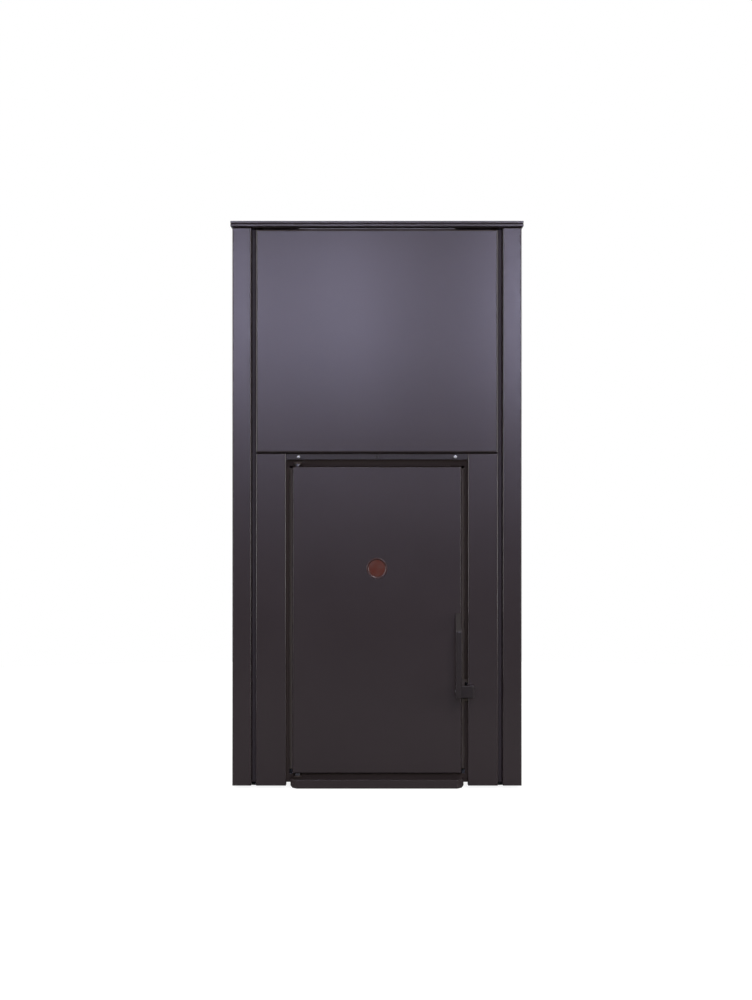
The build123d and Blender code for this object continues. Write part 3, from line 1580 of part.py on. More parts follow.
def fan_motor():
    """Motor on three posts behind the scroll."""
    r, y0 = fan_motor_radius, fan_motor_front()
    y1 = y0 + fan_motor_length
    line = [(0, y0), (r * 0.6, y0), (r, y0 + fan_motor_front_slope), (r, y1 - fan_motor_rear_slope),
            (r * 0.7, y1), (0, y1)]
    ring = y0 + fan_ring_start
    motor = lathe_y(line, duct_x, fan_z)
    motor += rod(r + fan_ring_rise, (duct_x, ring, fan_z), (duct_x, ring + fan_ring, fan_z))
    start = y0 - fan_motor_gap + seat_gap
    for i in range(3):
        a = math.radians(90 + 120 * i)
        reach = r + fan_post_shift
        x, z = duct_x + reach * math.cos(a), fan_z + reach * math.sin(a)
        motor += rod(fan_post_radius, (x, start, z), (x, ring + fan_ring / 2, z))
    bore_end = y0 + fan_shaft_seat + passing_gap
    return motor - rod(fan_shaft_radius + running_gap, (duct_x, y0 - past, fan_z), (duct_x, bore_end, fan_z))


def air_intake():
    """Combustion air pipe from the back of the boiler body through the rear panel."""
    y = boiler_rear + seat_gap
    wide = air_flange_radius
    flange = pipe(wide, wide - air_radius + air_wall, (air_x, y, air_z), (air_x, y + air_flange, air_z))
    return spigot(air_radius, air_wall, air_x, air_z, y, rear + air_reach) + flange


def elbowed_pipe(start, corner, end):
    """Water pipe in two lengths with a cast elbow over its corner."""
    at = Vector(*corner)
    before = (at - Vector(*start)).normalized()
    after = (Vector(*end) - at).normalized()
    r = water_pipe_radius
    body = mitred(r, start, corner, end)
    body += mitred(r + elbow_wall, at - before * elbow_reach, corner, at + after * elbow_reach)
    return body - mitred(r - water_pipe_wall, start, corner, end)


def water_pipes():
    """Flow pipe, and the return pipe in two lengths either side of the pump."""
    x, y, r = socket_x, return_run_y, water_pipe_radius
    start, end = boiler_rear + socket_stop + seat_gap, rear + water_reach
    flow = spigot(r, water_pipe_wall, x, flow_height, start, end)
    flow -= rod(valve_bore_radius, (x, valve_y, flow_height), (x, valve_y, flow_height + 2 * r))
    reach = pump_body_half + seat_gap
    upper = elbowed_pipe((x, end, return_stub_z), (x, y, return_stub_z), (x, y, pump_z + reach))
    upper += stop_bead(r, water_pipe_wall, x, return_stub_z)
    lower = elbowed_pipe((x, y, pump_z - reach), (x, y, return_height), (x, start, return_height))
    return [flow, upper, lower]


def circulation_pump():
    """Inline pump: a turned body on the pipe with its motor to the left."""
    x, y, z = socket_x, return_run_y, pump_z
    r, half = water_pipe_radius, pump_body_half
    nut, neck, barrel = r + pump_nut_rise, r + pump_neck_rise, r + pump_barrel_rise
    side = [(barrel, pump_barrel_half), (neck, half - pump_neck), (nut, half - pump_nut), (nut, half),
            (0, half)]
    line = [(radius, z - rise) for radius, rise in reversed(side)]
    line += [(radius, z + rise) for radius, rise in side]
    body = lathe_z(line, x, y)
    face = x - r - passing_gap
    end = face - pump_volute
    body += rod(pump_radius, (end, y, z), (face, y, z))
    motor = rod(pump_radius - pump_motor_step, (end, y, z), (end - pump_motor_length, y, z))
    body += chamfer(motor.edges().sort_by(Axis.X)[0], pump_chamfer)
    return body - rod(r - water_pipe_wall, (x, y, z - half - past), (x, y, z + half + past))


def valve_foot():
    """Level of the safety valve's foot, inside the flow pipe's outline."""
    return flow_height + water_pipe_radius * 0.6


def safety_valve():
    """Relief valve on the flow pipe, with its side outlet."""
    x, y, r = socket_x, valve_y, valve_body_radius
    z0 = valve_foot()
    z1 = z0 + valve_body_height
    neck, shoulder = z0 + valve_neck, z0 + valve_neck + valve_shoulder
    line = [(0, z0), (r * 0.6, z0), (r * 0.6, neck), (r, shoulder), (r, z1 - valve_cap),
            (r * 0.8, z1), (0, z1)]
    z = z0 + valve_outlet_rise
    end = x - valve_outlet_length
    body = lathe_z(line, x, y) + rod(valve_outlet_radius, (x, y, z), (end, y, z))
    saddle = water_pipe_radius + seat_gap
    body -= rod(saddle, (x, y - 2 * saddle, flow_height), (x, y + 2 * saddle, flow_height))
    body -= rod(valve_outlet_radius - valve_outlet_wall, (x - r - past, y, z), (end - past, y, z))
    return body - rod(valve_stem_radius + running_gap, (x, y, z1 - valve_stem_bore), (x, y, z1 + past))


def safety_valve_knob():
    """Lobed knob that lifts the valve."""
    x, y = socket_x, valve_y
    z = valve_foot() + valve_body_height + seat_gap
    outline = Circle(valve_knob_radius)
    reach = valve_knob_radius + valve_knob_groove_shift
    for i in range(valve_knob_lobes):
        a = 2 * math.pi * i / valve_knob_lobes
        outline -= Pos(reach * math.cos(a), reach * math.sin(a)) * Circle(valve_knob_groove)
    knob = Pos(x, y, z) * extrude(outline, valve_knob_height)
    return knob + rod(valve_stem_radius, (x, y, z - valve_stem_length), (x, y, z))


def expansion_vessel():
    """Flat round vessel with a pinched rim, a nipple and a hanging hook."""
    x, z, r = vessel_x, vessel_z, vessel_radius
    y1 = rear_inner - seat_gap - sheet
    y0 = y1 - vessel_depth
    middle = (y0 + y1) / 2
    face, bulge = vessel_face_radius, vessel_bulge
    vessel = lathe_y([(0, y0), (face, y0), (r, y0 + bulge), (r, y1 - bulge), (face, y1), (0, y1)], x, z)
    vessel += rod(r + vessel_rim_rise, (x, middle - vessel_rim_half, z), (x, middle + vessel_rim_half, z))
    bottom, top = z - r, z + r
    foot = bottom - vessel_nipple_length
    vessel += rod(vessel_nipple_radius, (x, middle, foot), (x, middle, bottom + r / 4))
    half, t = vessel_hook_half, vessel_hook_sheet
    high = top + vessel_hook
    vessel += block(x - half, x + half, middle - t / 2, middle + t / 2, top - t, high)
    return vessel + block(x - half, x + half, middle, rear_inner - seat_gap, high - t, high)


def control_level():
    """Upper face of the control panel."""
    return top_level - control_recess


def key_places():
    """Centres of the three keys, from left to right."""
    y = bay_front + bay_depth / 2
    return [(key_first_x + i * key_pitch, y) for i in range(3)]


def control_panel():
    """Moulded panel in the bay: retaining flange, display recess, key holes and a box below."""
    g, f, w, t = seat_gap, control_flange, control_wall, panel_plate
    x, y0, y1 = bay_half - g, bay_front + g, bay_front + bay_depth - g
    middle = bay_front + bay_depth / 2
    top, low = control_level(), control_level() - control_depth
    under = top_level - top_deck - g
    panel = block(-x, x, y0, y1, low, top)
    panel += block(-x - f, x + f, y0 - f, y1 + f, under - t, under)
    panel -= block(-x + w, x - w, y0 + w, y1 - w, low + w, top - t)
    panel -= block(display_x - display_half_x, display_x + display_half_x, middle - display_half_y,
                   middle + display_half_y, top - display_recess, top + past)
    post_top = top - t - key_collar - g - key_stem - key_travel - passing_gap
    for kx, ky in key_places():
        panel -= rod(key_radius + key_gap, (kx, ky, top - t - past), (kx, ky, top + past))
        panel += rod(key_post_radius, (kx, ky, low + w), (kx, ky, post_top))
    return panel


def control_key(index):
    """Round key with a collar under the panel and a stem."""
    x, y = key_places()[index]
    top = control_level() + key_rise
    under = control_level() - panel_plate - seat_gap
    low = under - key_collar
    foot = low - key_stem
    r, s, c = key_radius, key_stem_radius, key_radius + key_collar_rise
    line = [(0, foot), (s, foot), (s, low), (c, low), (c, under), (r, under), (r, top - key_edge),
            (r - key_edge, top), (0, top)]
    return lathe_z(line, x, y)


def socket_z():
    """Level of the socket in the mains inlet."""
    return inlet_z + rocker_drop - socket_drop


def mains_inlet():
    """Inlet body with its face plate, pin socket and the rocker's well."""
    x, x0, x1, z = inlet_x, inlet_x - inlet_half_x, inlet_x + inlet_half_x, inlet_half_z
    body = block(x0, x1, rear - inlet_depth, rear, inlet_z - z, inlet_z + z)
    lap = 2 * inlet_lap
    cover = RectangleRounded(2 * inlet_half_x + lap, 2 * z + lap, inlet_corner)
    body += elevation(Pos(x, inlet_z) * cover, rear, inlet_face)
    face, z_socket = rear + inlet_face, socket_z()
    back = face - socket_depth
    body -= block(x - socket_half_x, x + socket_half_x, back, face,
                  z_socket - socket_half_z, z_socket + socket_half_z)
    for dx, dz in ((-pin_pitch, -pin_low), (pin_pitch, -pin_low), (0, pin_high)):
        px, pz = x + dx, z_socket + dz
        body += block(px - pin_half_x, px + pin_half_x, back, face - pin_setback_y,
                      pz - pin_half_z, pz + pin_half_z)
    well_x, well_z = rocker_half_x + well_gap_x, rocker_half_z + well_gap_z
    z_rocker = inlet_z - rocker_drop
    back = face - rocker_depth - well_spare
    return body - block(x - well_x, x + well_x, back, face, z_rocker - well_z, z_rocker + well_z)


def rocker_axis():
    """Depth and level of the rocker's pivot."""
    return rear + inlet_face - rocker_depth / 2, inlet_z - rocker_drop


def mains_rocker():
    """Rocker of the mains switch, thrown to one side."""
    y, z = rocker_axis()
    h, d = rocker_half_z, rocker_depth / 2
    high, low = y + d + rocker_rise, y + d - rocker_rise / 2
    outline = make_face(Polyline((y - d, z - h * 0.6), (high, z - h), (low, z), (high, z + h),
                                 (y - d, z + h * 0.6), close=True))
    rocker = profile(outline, inlet_x - rocker_half_x, 2 * rocker_half_x)
    return rocker.rotate(Axis((inlet_x, y, z), (1, 0, 0)), rocker_tilt)


def all_nodes():
    """Every node and its solids."""
    side = side_panel_right()
    fascia = fascia_right()
    return {
        "base_frame": base_frame(),
        "levelling_feet": levelling_feet(),
        "side_panel_left": mirrored(side),
        "side_panel_right": side,
        "front_frame": front_frame(),
        "lower_left_fascia": mirrored(fascia),
        "lower_right_fascia": fascia,
        "door_header": door_header(),
        "header_screws": header_screws(),
        "door_sill": door_sill(),
        "rear_panel": rear_panel(),
        "top_plate": top_plate(),
        "hopper_lid": hopper_lid(),
        "lid_seal": lid_seal(),
        "lid_hinge_leaves": lid_hinge_leaves(),
        "upper_front_panel": upper_front_panel(),
        "panel_studs": panel_studs(),
        "panel_spring_clips": panel_spring_clips(),
        "door_shell": door_shell(),
        "door_inner_plate": door_inner_plate(),
        "door_insulation": door_insulation(),
        "door_rope_seal": door_rope_seal(),
        "sight_glass": sight_glass(),
        "sight_glass_ring": sight_glass_ring(),
        "door_hinge_brackets": door_hinge_brackets(),
        "door_hinge_pins": door_hinge_pins(),
        "handle_lever": handle_lever(),
        "handle_spindle": handle_spindle(),
        "roller_catch": roller_catch(),
        "boiler_body": boiler_body(),
        "firebox_lining": firebox_lining(),
        "burner_pot": burner_pot(),
        "ash_drawer": ash_drawer(),
        "smoke_box_cover": smoke_box_cover(),
        "ignition_rod": ignition_rod(),
        "turbulator_rack": turbulator_rack(),
        "cleaning_crank": cleaning_crank(),
        "cleaning_gearmotor": cleaning_gearmotor(),
        "hopper": hopper(),
        "hopper_grille": hopper_grille(),
        "auger_tube": auger_tube(),
        "auger_screw": auger_screw(),
        "auger_gearmotor": auger_gearmotor(),
        "drop_chute": drop_chute(),
        "fan_housing": fan_housing(),
        "flue_spigot": flue_spigot(),
        "fan_impeller": fan_impeller(),
        "fan_motor": fan_motor(),
        "air_intake": air_intake(),
        "circulation_pump": circulation_pump(),
        "expansion_vessel": expansion_vessel(),
        "water_pipes": water_pipes(),
        "safety_valve": safety_valve(),
        "safety_valve_knob": safety_valve_knob(),
        "control_panel": control_panel(),
        "key_power": control_key(0),
        "key_minus": control_key(1),
        "key_plus": control_key(2),
        "mains_inlet": mains_inlet(),
        "mains_rocker": mains_rocker(),
    }


def main():
    """Write one STEP file per node."""
    os.makedirs("parts", exist_ok=True)
    for name, shape in all_nodes().items():
        solids = shape if isinstance(shape, list) else [shape]
        pieces = [solid for piece in solids for solid in piece.solids()]
        whole = pieces[0] if len(pieces) == 1 else Compound(children=pieces)
        whole.label = name
        export_step(whole, f"parts/{name}.step")


main()
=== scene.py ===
"""Looks of a floor-standing pellet boiler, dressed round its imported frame.

Every length is in metres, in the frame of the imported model: X to the right seen from the front,
Y to the back, Z up, with the floor at zero.
"""

import logging
import math
from dataclasses import dataclass
from enum import Enum
from random import Random
from typing import Callable, ClassVar, Dict, Iterable, List, Mapping, Optional, Sequence, Tuple

import bpy
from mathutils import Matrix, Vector


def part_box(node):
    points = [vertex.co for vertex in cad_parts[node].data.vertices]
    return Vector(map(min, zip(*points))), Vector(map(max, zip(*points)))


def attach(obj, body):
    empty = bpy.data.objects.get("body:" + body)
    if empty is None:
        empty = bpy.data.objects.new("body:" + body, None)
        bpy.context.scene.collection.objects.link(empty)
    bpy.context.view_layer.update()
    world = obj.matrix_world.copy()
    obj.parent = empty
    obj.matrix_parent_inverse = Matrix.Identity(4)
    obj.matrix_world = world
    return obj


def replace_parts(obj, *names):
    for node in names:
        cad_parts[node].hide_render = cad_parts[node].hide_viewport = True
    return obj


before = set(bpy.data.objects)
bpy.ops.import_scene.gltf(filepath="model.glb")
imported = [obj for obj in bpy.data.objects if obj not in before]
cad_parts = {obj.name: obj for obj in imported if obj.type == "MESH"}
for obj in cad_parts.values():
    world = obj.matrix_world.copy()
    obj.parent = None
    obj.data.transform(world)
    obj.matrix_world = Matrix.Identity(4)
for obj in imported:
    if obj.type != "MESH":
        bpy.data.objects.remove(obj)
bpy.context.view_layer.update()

LOG = logging.getLogger("boiler")
MM = 0.001

Colour = Tuple[float, float, float]
Point = Tuple[float, float, float]
Socket = bpy.types.NodeSocket
Node = bpy.types.Node
Material = bpy.types.Material
WHITE: Colour = (1.0, 1.0, 1.0)
FRONT: Point = (0, -1, 0)
BACK: Point = (0, 1, 0)
LEFT: Point = (-1, 0, 0)
UP: Point = (0, 0, 1)
SQUARE: Tuple[Tuple[int, int], ...] = ((-1, -1), (1, -1), (1, 1), (-1, 1))


def linear(red: int, green: int, blue: int) -> Colour:
    """Turn a screen colour into linear light.

    Args:
        red: Red from 0 to 255.
        green: Green from 0 to 255.
        blue: Blue from 0 to 255.

    Returns:
        The three linear parts.
    """
    parts = []
    for value in (red, green, blue):
        share = value / 255
        parts.append(share / 12.92 if share <= 0.04045 else ((share + 0.055) / 1.055) ** 2.4)
    return parts[0], parts[1], parts[2]


def scaled(colour: Colour, share: float) -> Colour:
    """A colour made darker or lighter by a share."""
    red, green, blue = (min(1.0, part * share) for part in colour)
    return red, green, blue


def turn(count: int) -> List[float]:
    """Evenly spread angles round a full turn."""
    return [2 * math.pi * k / count for k in range(count)]


def hexagon(angle: float, flat: float) -> float:
    """Radius at an angle of a hexagon with a given half width."""
    step = math.pi / 3
    return flat / math.cos((angle + step / 2) % step - step / 2)


class Wiring:
    """A shader's nodes, with short ways to add and link them."""

    def __init__(self, tree: bpy.types.NodeTree) -> None:
        """Work on a node tree."""
        self.tree = tree

    def add(self, kind: str, inputs: Optional[Mapping[object, object]] = None, **settings: object) -> Node:
        """Add a node.

        Args:
            kind: The node's type.
            inputs: Values or sockets for its inputs, by name or number.
            settings: The node's own settings.

        Returns:
            The new node.
        """
        node = self.tree.nodes.new(kind)
        for key, value in settings.items():
            setattr(node, key, value)
        for key, value in (inputs or {}).items():
            self.feed(node.inputs[key], value)
        return node

    def feed(self, target: Socket, value: object) -> None:
        """Link a socket, or set its value.

        Args:
            target: The input.
            value: An output socket, a number or a colour.
        """
        if isinstance(value, Socket):
            self.tree.links.new(value, target)
        elif isinstance(value, tuple) and len(value) == 3 and target.type == "RGBA":
            target.default_value = (*value, 1.0)
        else:
            target.default_value = value

    def math(self, kind: str, first: object, second: object = 0.0) -> Socket:
        """One step of arithmetic on two values."""
        return self.add("ShaderNodeMath", {0: first, 1: second}, operation=kind).outputs[0]


class Graph(Wiring):
    """The shader nodes of one material."""

    def __init__(self, name: str) -> None:
        """Start a material with its main shader and its object coordinates.

        Args:
            name: The material's name.
        """
        self.material = bpy.data.materials.new(name)
        self.material.use_nodes = True
        super().__init__(self.material.node_tree)
        self.shader = self.tree.nodes["Principled BSDF"]
        self.place: Socket = self.add("ShaderNodeTexCoord").outputs["Object"]

    def stretched(self, stretch: Point) -> Socket:
        """Object coordinates scaled along each axis."""
        return self.add("ShaderNodeMapping", {"Vector": self.place, "Scale": stretch}).outputs["Vector"]

    def noise(self, size: float, detail: float = 2.0, stretch: Point = (1, 1, 1)) -> Socket:
        """Cloudy noise from 0 to 1, with blotches of one size and a number of finer layers."""
        values = {"Vector": self.stretched(stretch), "Scale": 1 / size, "Detail": detail}
        return self.add("ShaderNodeTexNoise", values).outputs["Fac"]

    def cells(self, size: float, feature: str = "F1", output: str = "Distance") -> Socket:
        """One output of a pattern of cells of about one size."""
        node = self.add("ShaderNodeTexVoronoi", {"Vector": self.place, "Scale": 1 / size}, feature=feature)
        return node.outputs[output]

    def shades(self, size: float) -> Socket:
        """A random value for each cell of a pattern."""
        return self.add("ShaderNodeSeparateColor", {"Color": self.cells(size, output="Color")}).outputs["Red"]

    def span(self, source: Socket, low: float, high: float, start: float = 0.3, end: float = 0.7) -> Socket:
        """Spread a source between two results, the low one at its start and the high one at its end."""
        values = {"Value": source, "From Min": start, "From Max": end, "To Min": low, "To Max": high}
        return self.add("ShaderNodeMapRange", values).outputs["Result"]

    def mix(self, share: object, first: object, second: object) -> Socket:
        """Mix two colours by a share."""
        return self.add("ShaderNodeMix", {"Factor": share, 6: first, 7: second}, data_type="RGBA").outputs[2]

    def relief(self, *layers: Tuple[Socket, float], fold: float = 0.0) -> None:
        """Give the surface its relief, from heights and their depths.

        Args:
            layers: Each height source with its depth in metres.
            fold: Radius that the paint rounds over each fold and cut edge.
        """
        normal: Optional[Socket] = None
        if fold:
            normal = self.add("ShaderNodeBevel", {"Radius": fold}, samples=6).outputs["Normal"]
        for height, depth in layers:
            values: Dict[object, object] = {"Height": height, "Distance": depth, "Strength": 1.0}
            if normal is not None:
                values["Normal"] = normal
            normal = self.add("ShaderNodeBump", values).outputs["Normal"]
        if normal is not None:
            self.feed(self.shader.inputs["Normal"], normal)

    def surface(self, **values: object) -> Material:
        """Set the main shader's inputs and hand the material over.

        Args:
            values: Inputs by name, with an underscore for each blank.

        Returns:
            The finished material.
        """
        for name, value in values.items():
            self.feed(self.shader.inputs[name.replace("_", " ")], value)
        self.material.diffuse_color = (0.5, 0.5, 0.5, 1.0)
        return self.material


@dataclass(frozen=True)
class Coating:
    """Sprayed and baked powder: a fine even grain over a slow orange peel, with painted light at the foot of
    the grooves where a groove is set.
    """

    name: str
    colour: Colour
    roughness: float = 0.25
    grain: float = 0.9 * MM
    grain_depth: float = 0.006 * MM
    peel: float = 7 * MM
    peel_depth: float = 0.018 * MM
    gloss: float = 0.5
    fold: float = 1.6 * MM
    groove_half: float = 0.0
    groove_lip: float = 0.0
    groove_fade: float = 9 * MM

    def _groove_light_share(self, g: Graph) -> Socket:
        """Share of the foot of the grooves beside the columns where the colour is lifted, as painted light
        against the shade there, and the finish is rougher.

        Args:
            g: The material's nodes.

        Returns:
            The share, from 0 on the faces to 1 in the grooves.
        """
        parts = g.add("ShaderNodeSeparateXYZ", {"Vector": g.place})
        inside = g.math("LESS_THAN", g.math("ABSOLUTE", parts.outputs["X"]), self.groove_half)
        deep = g.span(parts.outputs["Y"], 0.0, 1.0, self.groove_lip, self.groove_lip + self.groove_fade)
        return g.math("MULTIPLY", inside, deep)

    def make(self) -> Material:
        """Build the material.

        Returns:
            The finished material.
        """
        g = Graph(self.name)
        cloud = g.noise(160 * MM, 3)
        fleck = g.noise(self.grain, 2)
        tone = g.mix(g.span(cloud, 0.2, 0.8), scaled(self.colour, 0.95), scaled(self.colour, 1.06))
        tone = g.mix(g.span(fleck, 0.0, 0.35, 0.55, 0.8), tone, scaled(self.colour, 1.5))
        grit = g.span(fleck, self.roughness - 0.03, self.roughness + 0.03)
        rough = g.math("ADD", g.span(cloud, -0.006, 0.006), grit)
        g.relief((g.noise(self.peel, 1), self.peel_depth), (fleck, self.grain_depth), fold=self.fold)
        if self.groove_half:
            # Painted light: the colour at the foot of the grooves is lifted to offset the shade there; the
            # added roughness makes that foot matt.
            painted_groove_light = self._groove_light_share(g)
            tone = g.mix(painted_groove_light, tone, scaled(self.colour, 1.4))
            rough = g.math("ADD", rough, g.math("MULTIPLY", painted_groove_light, 0.3))
        return g.surface(Base_Color=tone, Roughness=rough, Specular_IOR_Level=self.gloss)


@dataclass(frozen=True)
class Zinc:
    """Hot-dipped sheet with its crystal pattern."""

    name: str
    colour: Colour = linear(176, 181, 184)
    crystal: float = 9 * MM
    roughness: float = 0.38

    def make(self) -> Material:
        """Build the material.

        Returns:
            The finished material.
        """
        g = Graph(self.name)
        shade = g.shades(self.crystal)
        streak = g.noise(30 * MM, 3, (1, 1, 0.25))
        tone = g.mix(g.span(shade, 0.0, 1.0, 0.0, 1.0), scaled(self.colour, 0.68), self.colour)
        tone = g.mix(g.span(streak, 0.0, 0.35), tone, scaled(self.colour, 0.8))
        worn = g.span(streak, self.roughness, self.roughness + 0.1)
        rough = g.math("ADD", g.span(shade, -0.07, 0.07, 0.0, 1.0), worn)
        g.relief((shade, 0.02 * MM), (g.noise(1.2 * MM), 0.01 * MM))
        return g.surface(Base_Color=tone, Roughness=rough, Metallic=1.0)


@dataclass(frozen=True)
class BareMetal:
    """Plain metal with drawing marks along one axis and a little tarnish."""

    name: str
    colour: Colour
    roughness: float = 0.28
    marks: Point = (1, 1, 1)
    tarnish: Colour = (0.2, 0.17, 0.13)
    tarnish_share: float = 0.18

    def make(self) -> Material:
        """Build the material.

        Returns:
            The finished material.
        """
        g = Graph(self.name)
        mark = g.noise(0.7 * MM, 3, self.marks)
        patch = g.noise(22 * MM, 4)
        tone = g.mix(g.span(mark, 0.0, 0.3), self.colour, scaled(self.colour, 0.72))
        tone = g.mix(g.span(patch, 0.0, self.tarnish_share, 0.42, 0.75), tone, self.tarnish)
        rough = g.math("ADD", g.span(mark, -0.05, 0.07), g.span(patch, self.roughness, self.roughness + 0.12))
        g.relief((mark, 0.008 * MM))
        return g.surface(Base_Color=tone, Roughness=rough, Metallic=1.0)


@dataclass(frozen=True)
class HeatTint:
    """Stainless steel with straw and blue bands from the heat."""

    name: str
    colour: Colour = linear(170, 164, 156)
    band: float = 60 * MM

    def make(self) -> Material:
        """Build the material.

        Returns:
            The finished material.
        """
        g = Graph(self.name)
        drift = g.noise(self.band, 3)
        soot = g.noise(9 * MM, 4)
        tone = g.mix(g.span(drift, 0.0, 0.55, 0.35, 0.6), self.colour, linear(156, 126, 84))
        tone = g.mix(g.span(drift, 0.0, 0.5, 0.58, 0.72), tone, linear(86, 92, 120))
        tone = g.mix(g.span(soot, 0.0, 0.5, 0.5, 0.8), tone, linear(52, 49, 46))
        g.relief((g.noise(1.0 * MM, 3), 0.015 * MM))
        return g.surface(Base_Color=tone, Roughness=g.span(soot, 0.3, 0.55), Metallic=1.0)


@dataclass(frozen=True)
class CastSkin:
    """Rough skin of a sand or die casting."""

    name: str
    colour: Colour
    roughness: float = 0.6
    grain: float = 1.6 * MM
    depth: float = 0.12 * MM
    metallic: float = 0.0
    dust: Colour = (0.2, 0.17, 0.14)

    def make(self) -> Material:
        """Build the material.

        Returns:
            The finished material.
        """
        g = Graph(self.name)
        grain = g.noise(self.grain, 4)
        patch = g.noise(28 * MM, 3)
        tone = g.mix(g.span(grain, 0.0, 0.5), self.colour, scaled(self.colour, 0.6))
        tone = g.mix(g.span(patch, 0.0, 0.3, 0.5, 0.8), tone, self.dust)
        g.relief((g.noise(self.grain * 4, 2), self.depth), (grain, self.depth * 0.6))
        rough = g.span(patch, self.roughness - 0.06, self.roughness + 0.1)
        return g.surface(Base_Color=tone, Roughness=rough, Metallic=self.metallic)


@dataclass(frozen=True)
class PressedBoard:
    """Pressed refractory board: mica flakes in a sandy binder, sooted in patches."""

    name: str
    colour: Colour = linear(188, 164, 122)
    flake: float = 3.5 * MM

    def make(self) -> Material:
        """Build the material.

        Returns:
            The finished material.
        """
        g = Graph(self.name)
        flake = g.shades(self.flake)
        soot = g.noise(70 * MM, 5)
        tone = g.mix(g.span(flake, 0.0, 1.0, 0.0, 1.0), scaled(self.colour, 0.55), self.colour)
        tone = g.mix(g.span(flake, 0.0, 0.6, 0.82, 1.0), tone, linear(222, 200, 150))
        tone = g.mix(g.span(soot, 0.0, 0.75, 0.42, 0.72), tone, linear(58, 52, 46))
        g.relief((g.cells(self.flake), 0.5 * MM), (g.noise(1.1 * MM, 3), 0.2 * MM))
        rough = g.span(flake, 0.7, 0.95, 0.0, 1.0)
        return g.surface(Base_Color=tone, Roughness=rough, Specular_IOR_Level=0.3)


@dataclass(frozen=True)
class FibreSlab:
    """Pressed mineral fibre with strands that lie in the plane of the slab."""

    name: str
    colour: Colour = linear(206, 198, 172)

    def make(self) -> Material:
        """Build the material.

        Returns:
            The finished material.
        """
        g = Graph(self.name)
        strand = g.noise(1.4 * MM, 4, (0.25, 1, 1))
        cross = g.noise(1.4 * MM, 4, (1, 1, 0.25))
        tone = g.mix(g.span(strand, 0.0, 0.7), self.colour, scaled(self.colour, 0.62))
        tone = g.mix(g.span(cross, 0.0, 0.3), tone, linear(236, 230, 210))
        g.relief((strand, 0.4 * MM), (cross, 0.4 * MM))
        return g.surface(Base_Color=tone, Roughness=0.95, Specular_IOR_Level=0.15)


@dataclass(frozen=True)
class Braid:
    """Braided glass yarn, whose plait follows the rope through its map."""

    name: str
    colour: Colour = linear(176, 171, 158)
    plait: float = 4 * MM
    strands: float = 6.0

    def make(self) -> Material:
        """Build the material.

        Returns:
            The finished material.
        """
        g = Graph(self.name)
        chart = g.add("ShaderNodeUVMap").outputs["UV"]
        parts = g.add("ShaderNodeSeparateXYZ", {"Vector": chart})
        along = g.math("MULTIPLY", parts.outputs["X"], 2 * math.pi / self.plait)
        round_it = g.math("MULTIPLY", parts.outputs["Y"], 2 * math.pi * self.strands)
        left = g.math("SINE", g.math("ADD", along, round_it))
        right = g.math("SINE", g.math("SUBTRACT", along, round_it))
        yarn = g.math("MAXIMUM", left, right)
        fuzz = g.noise(0.8 * MM, 3)
        tone = g.mix(g.span(yarn, 0.0, 1.0, -0.2, 0.9), scaled(self.colour, 0.4), self.colour)
        tone = g.mix(g.span(fuzz, 0.0, 0.4), tone, scaled(self.colour, 0.75))
        g.relief((yarn, 0.5 * MM), (fuzz, 0.15 * MM))
        return g.surface(Base_Color=tone, Roughness=0.9, Specular_IOR_Level=0.2)


@dataclass(frozen=True)
class Moulding:
    """Moulded plastic or rubber with an eroded grain."""

    name: str
    colour: Colour
    roughness: float = 0.5
    grain: float = 0.7 * MM
    depth: float = 0.03 * MM
    gloss: float = 0.5

    def make(self) -> Material:
        """Build the material.

        Returns:
            The finished material.
        """
        g = Graph(self.name)
        grain = g.cells(self.grain, feature="SMOOTH_F1")
        handled = g.noise(18 * MM, 3)
        tone = g.mix(g.span(handled, 0.0, 0.5), self.colour, scaled(self.colour, 1.25))
        rough = g.span(handled, self.roughness - 0.06, self.roughness + 0.06)
        g.relief((grain, self.depth))
        return g.surface(Base_Color=tone, Roughness=rough, Specular_IOR_Level=self.gloss)


@dataclass(frozen=True)
class FireGlass:
    """Dark red heat-resistant glass, hazed by the fire behind it."""

    name: str
    colour: Colour = linear(84, 42, 34)
    soot: Colour = linear(76, 38, 31)
    clear: float = 0.12

    def make(self) -> Material:
        """Build the material.

        Returns:
            The finished material.
        """
        g = Graph(self.name)
        haze = g.noise(14 * MM, 4)
        spread = g.noise(5 * MM, 2)
        tone = g.mix(g.span(haze, 0.0, 0.8), self.colour, self.soot)
        g.relief((spread, 0.01 * MM))
        rough = g.span(haze, 0.08, 0.22)
        return g.surface(Base_Color=tone, Roughness=rough, Transmission_Weight=self.clear, IOR=1.47)


class Coat(Enum):
    """The finishes of the boiler."""

    CASING = "powder_coat"
    BLACK = "black_paint"
    BODY = "boiler_paint"
    ZINC = "galvanised"
    BRIGHT = "bright_steel"
    SPRING = "spring_steel"
    STAINLESS = "stainless"
    IRON = "cast_iron"
    BOARD = "refractory"
    WOOL = "mineral_wool"
    ROPE = "rope"
    RUBBER = "rubber"
    GLASS = "fire_glass"
    ALUMINIUM = "aluminium"
    BRASS = "brass"
    PUMP = "pump_paint"
    VESSEL = "vessel_paint"
    PANEL = "panel_plastic"
    KEY = "key_plastic"
    KNOB = "knob_plastic"
    ROCKER = "rocker_plastic"
    SIDE = "side_coat"
    RECESS_PAINTED_LIGHT = "recess_painted_light"
    LEVER = "lever_paint"
    LIP_HIGHLIGHT = "painted_lip_highlight"
    BEZEL = "bezel_enamel"
    DISPLAY = "display_window"
    LEGEND = "key_legend"

    @property
    def slot(self) -> str:
        """The record's material slot that the finish belongs to.

        Returns:
            The slot's name.
        """
        family = {Coat.CASING: (Coat.SIDE, Coat.BEZEL), Coat.BLACK: (Coat.RECESS_PAINTED_LIGHT, Coat.LEVER),
                  Coat.BRIGHT: (Coat.LIP_HIGHLIGHT,), Coat.PANEL: (Coat.DISPLAY, Coat.LEGEND)}
        return next((head.value for head, rest in family.items() if self in rest), self.value)


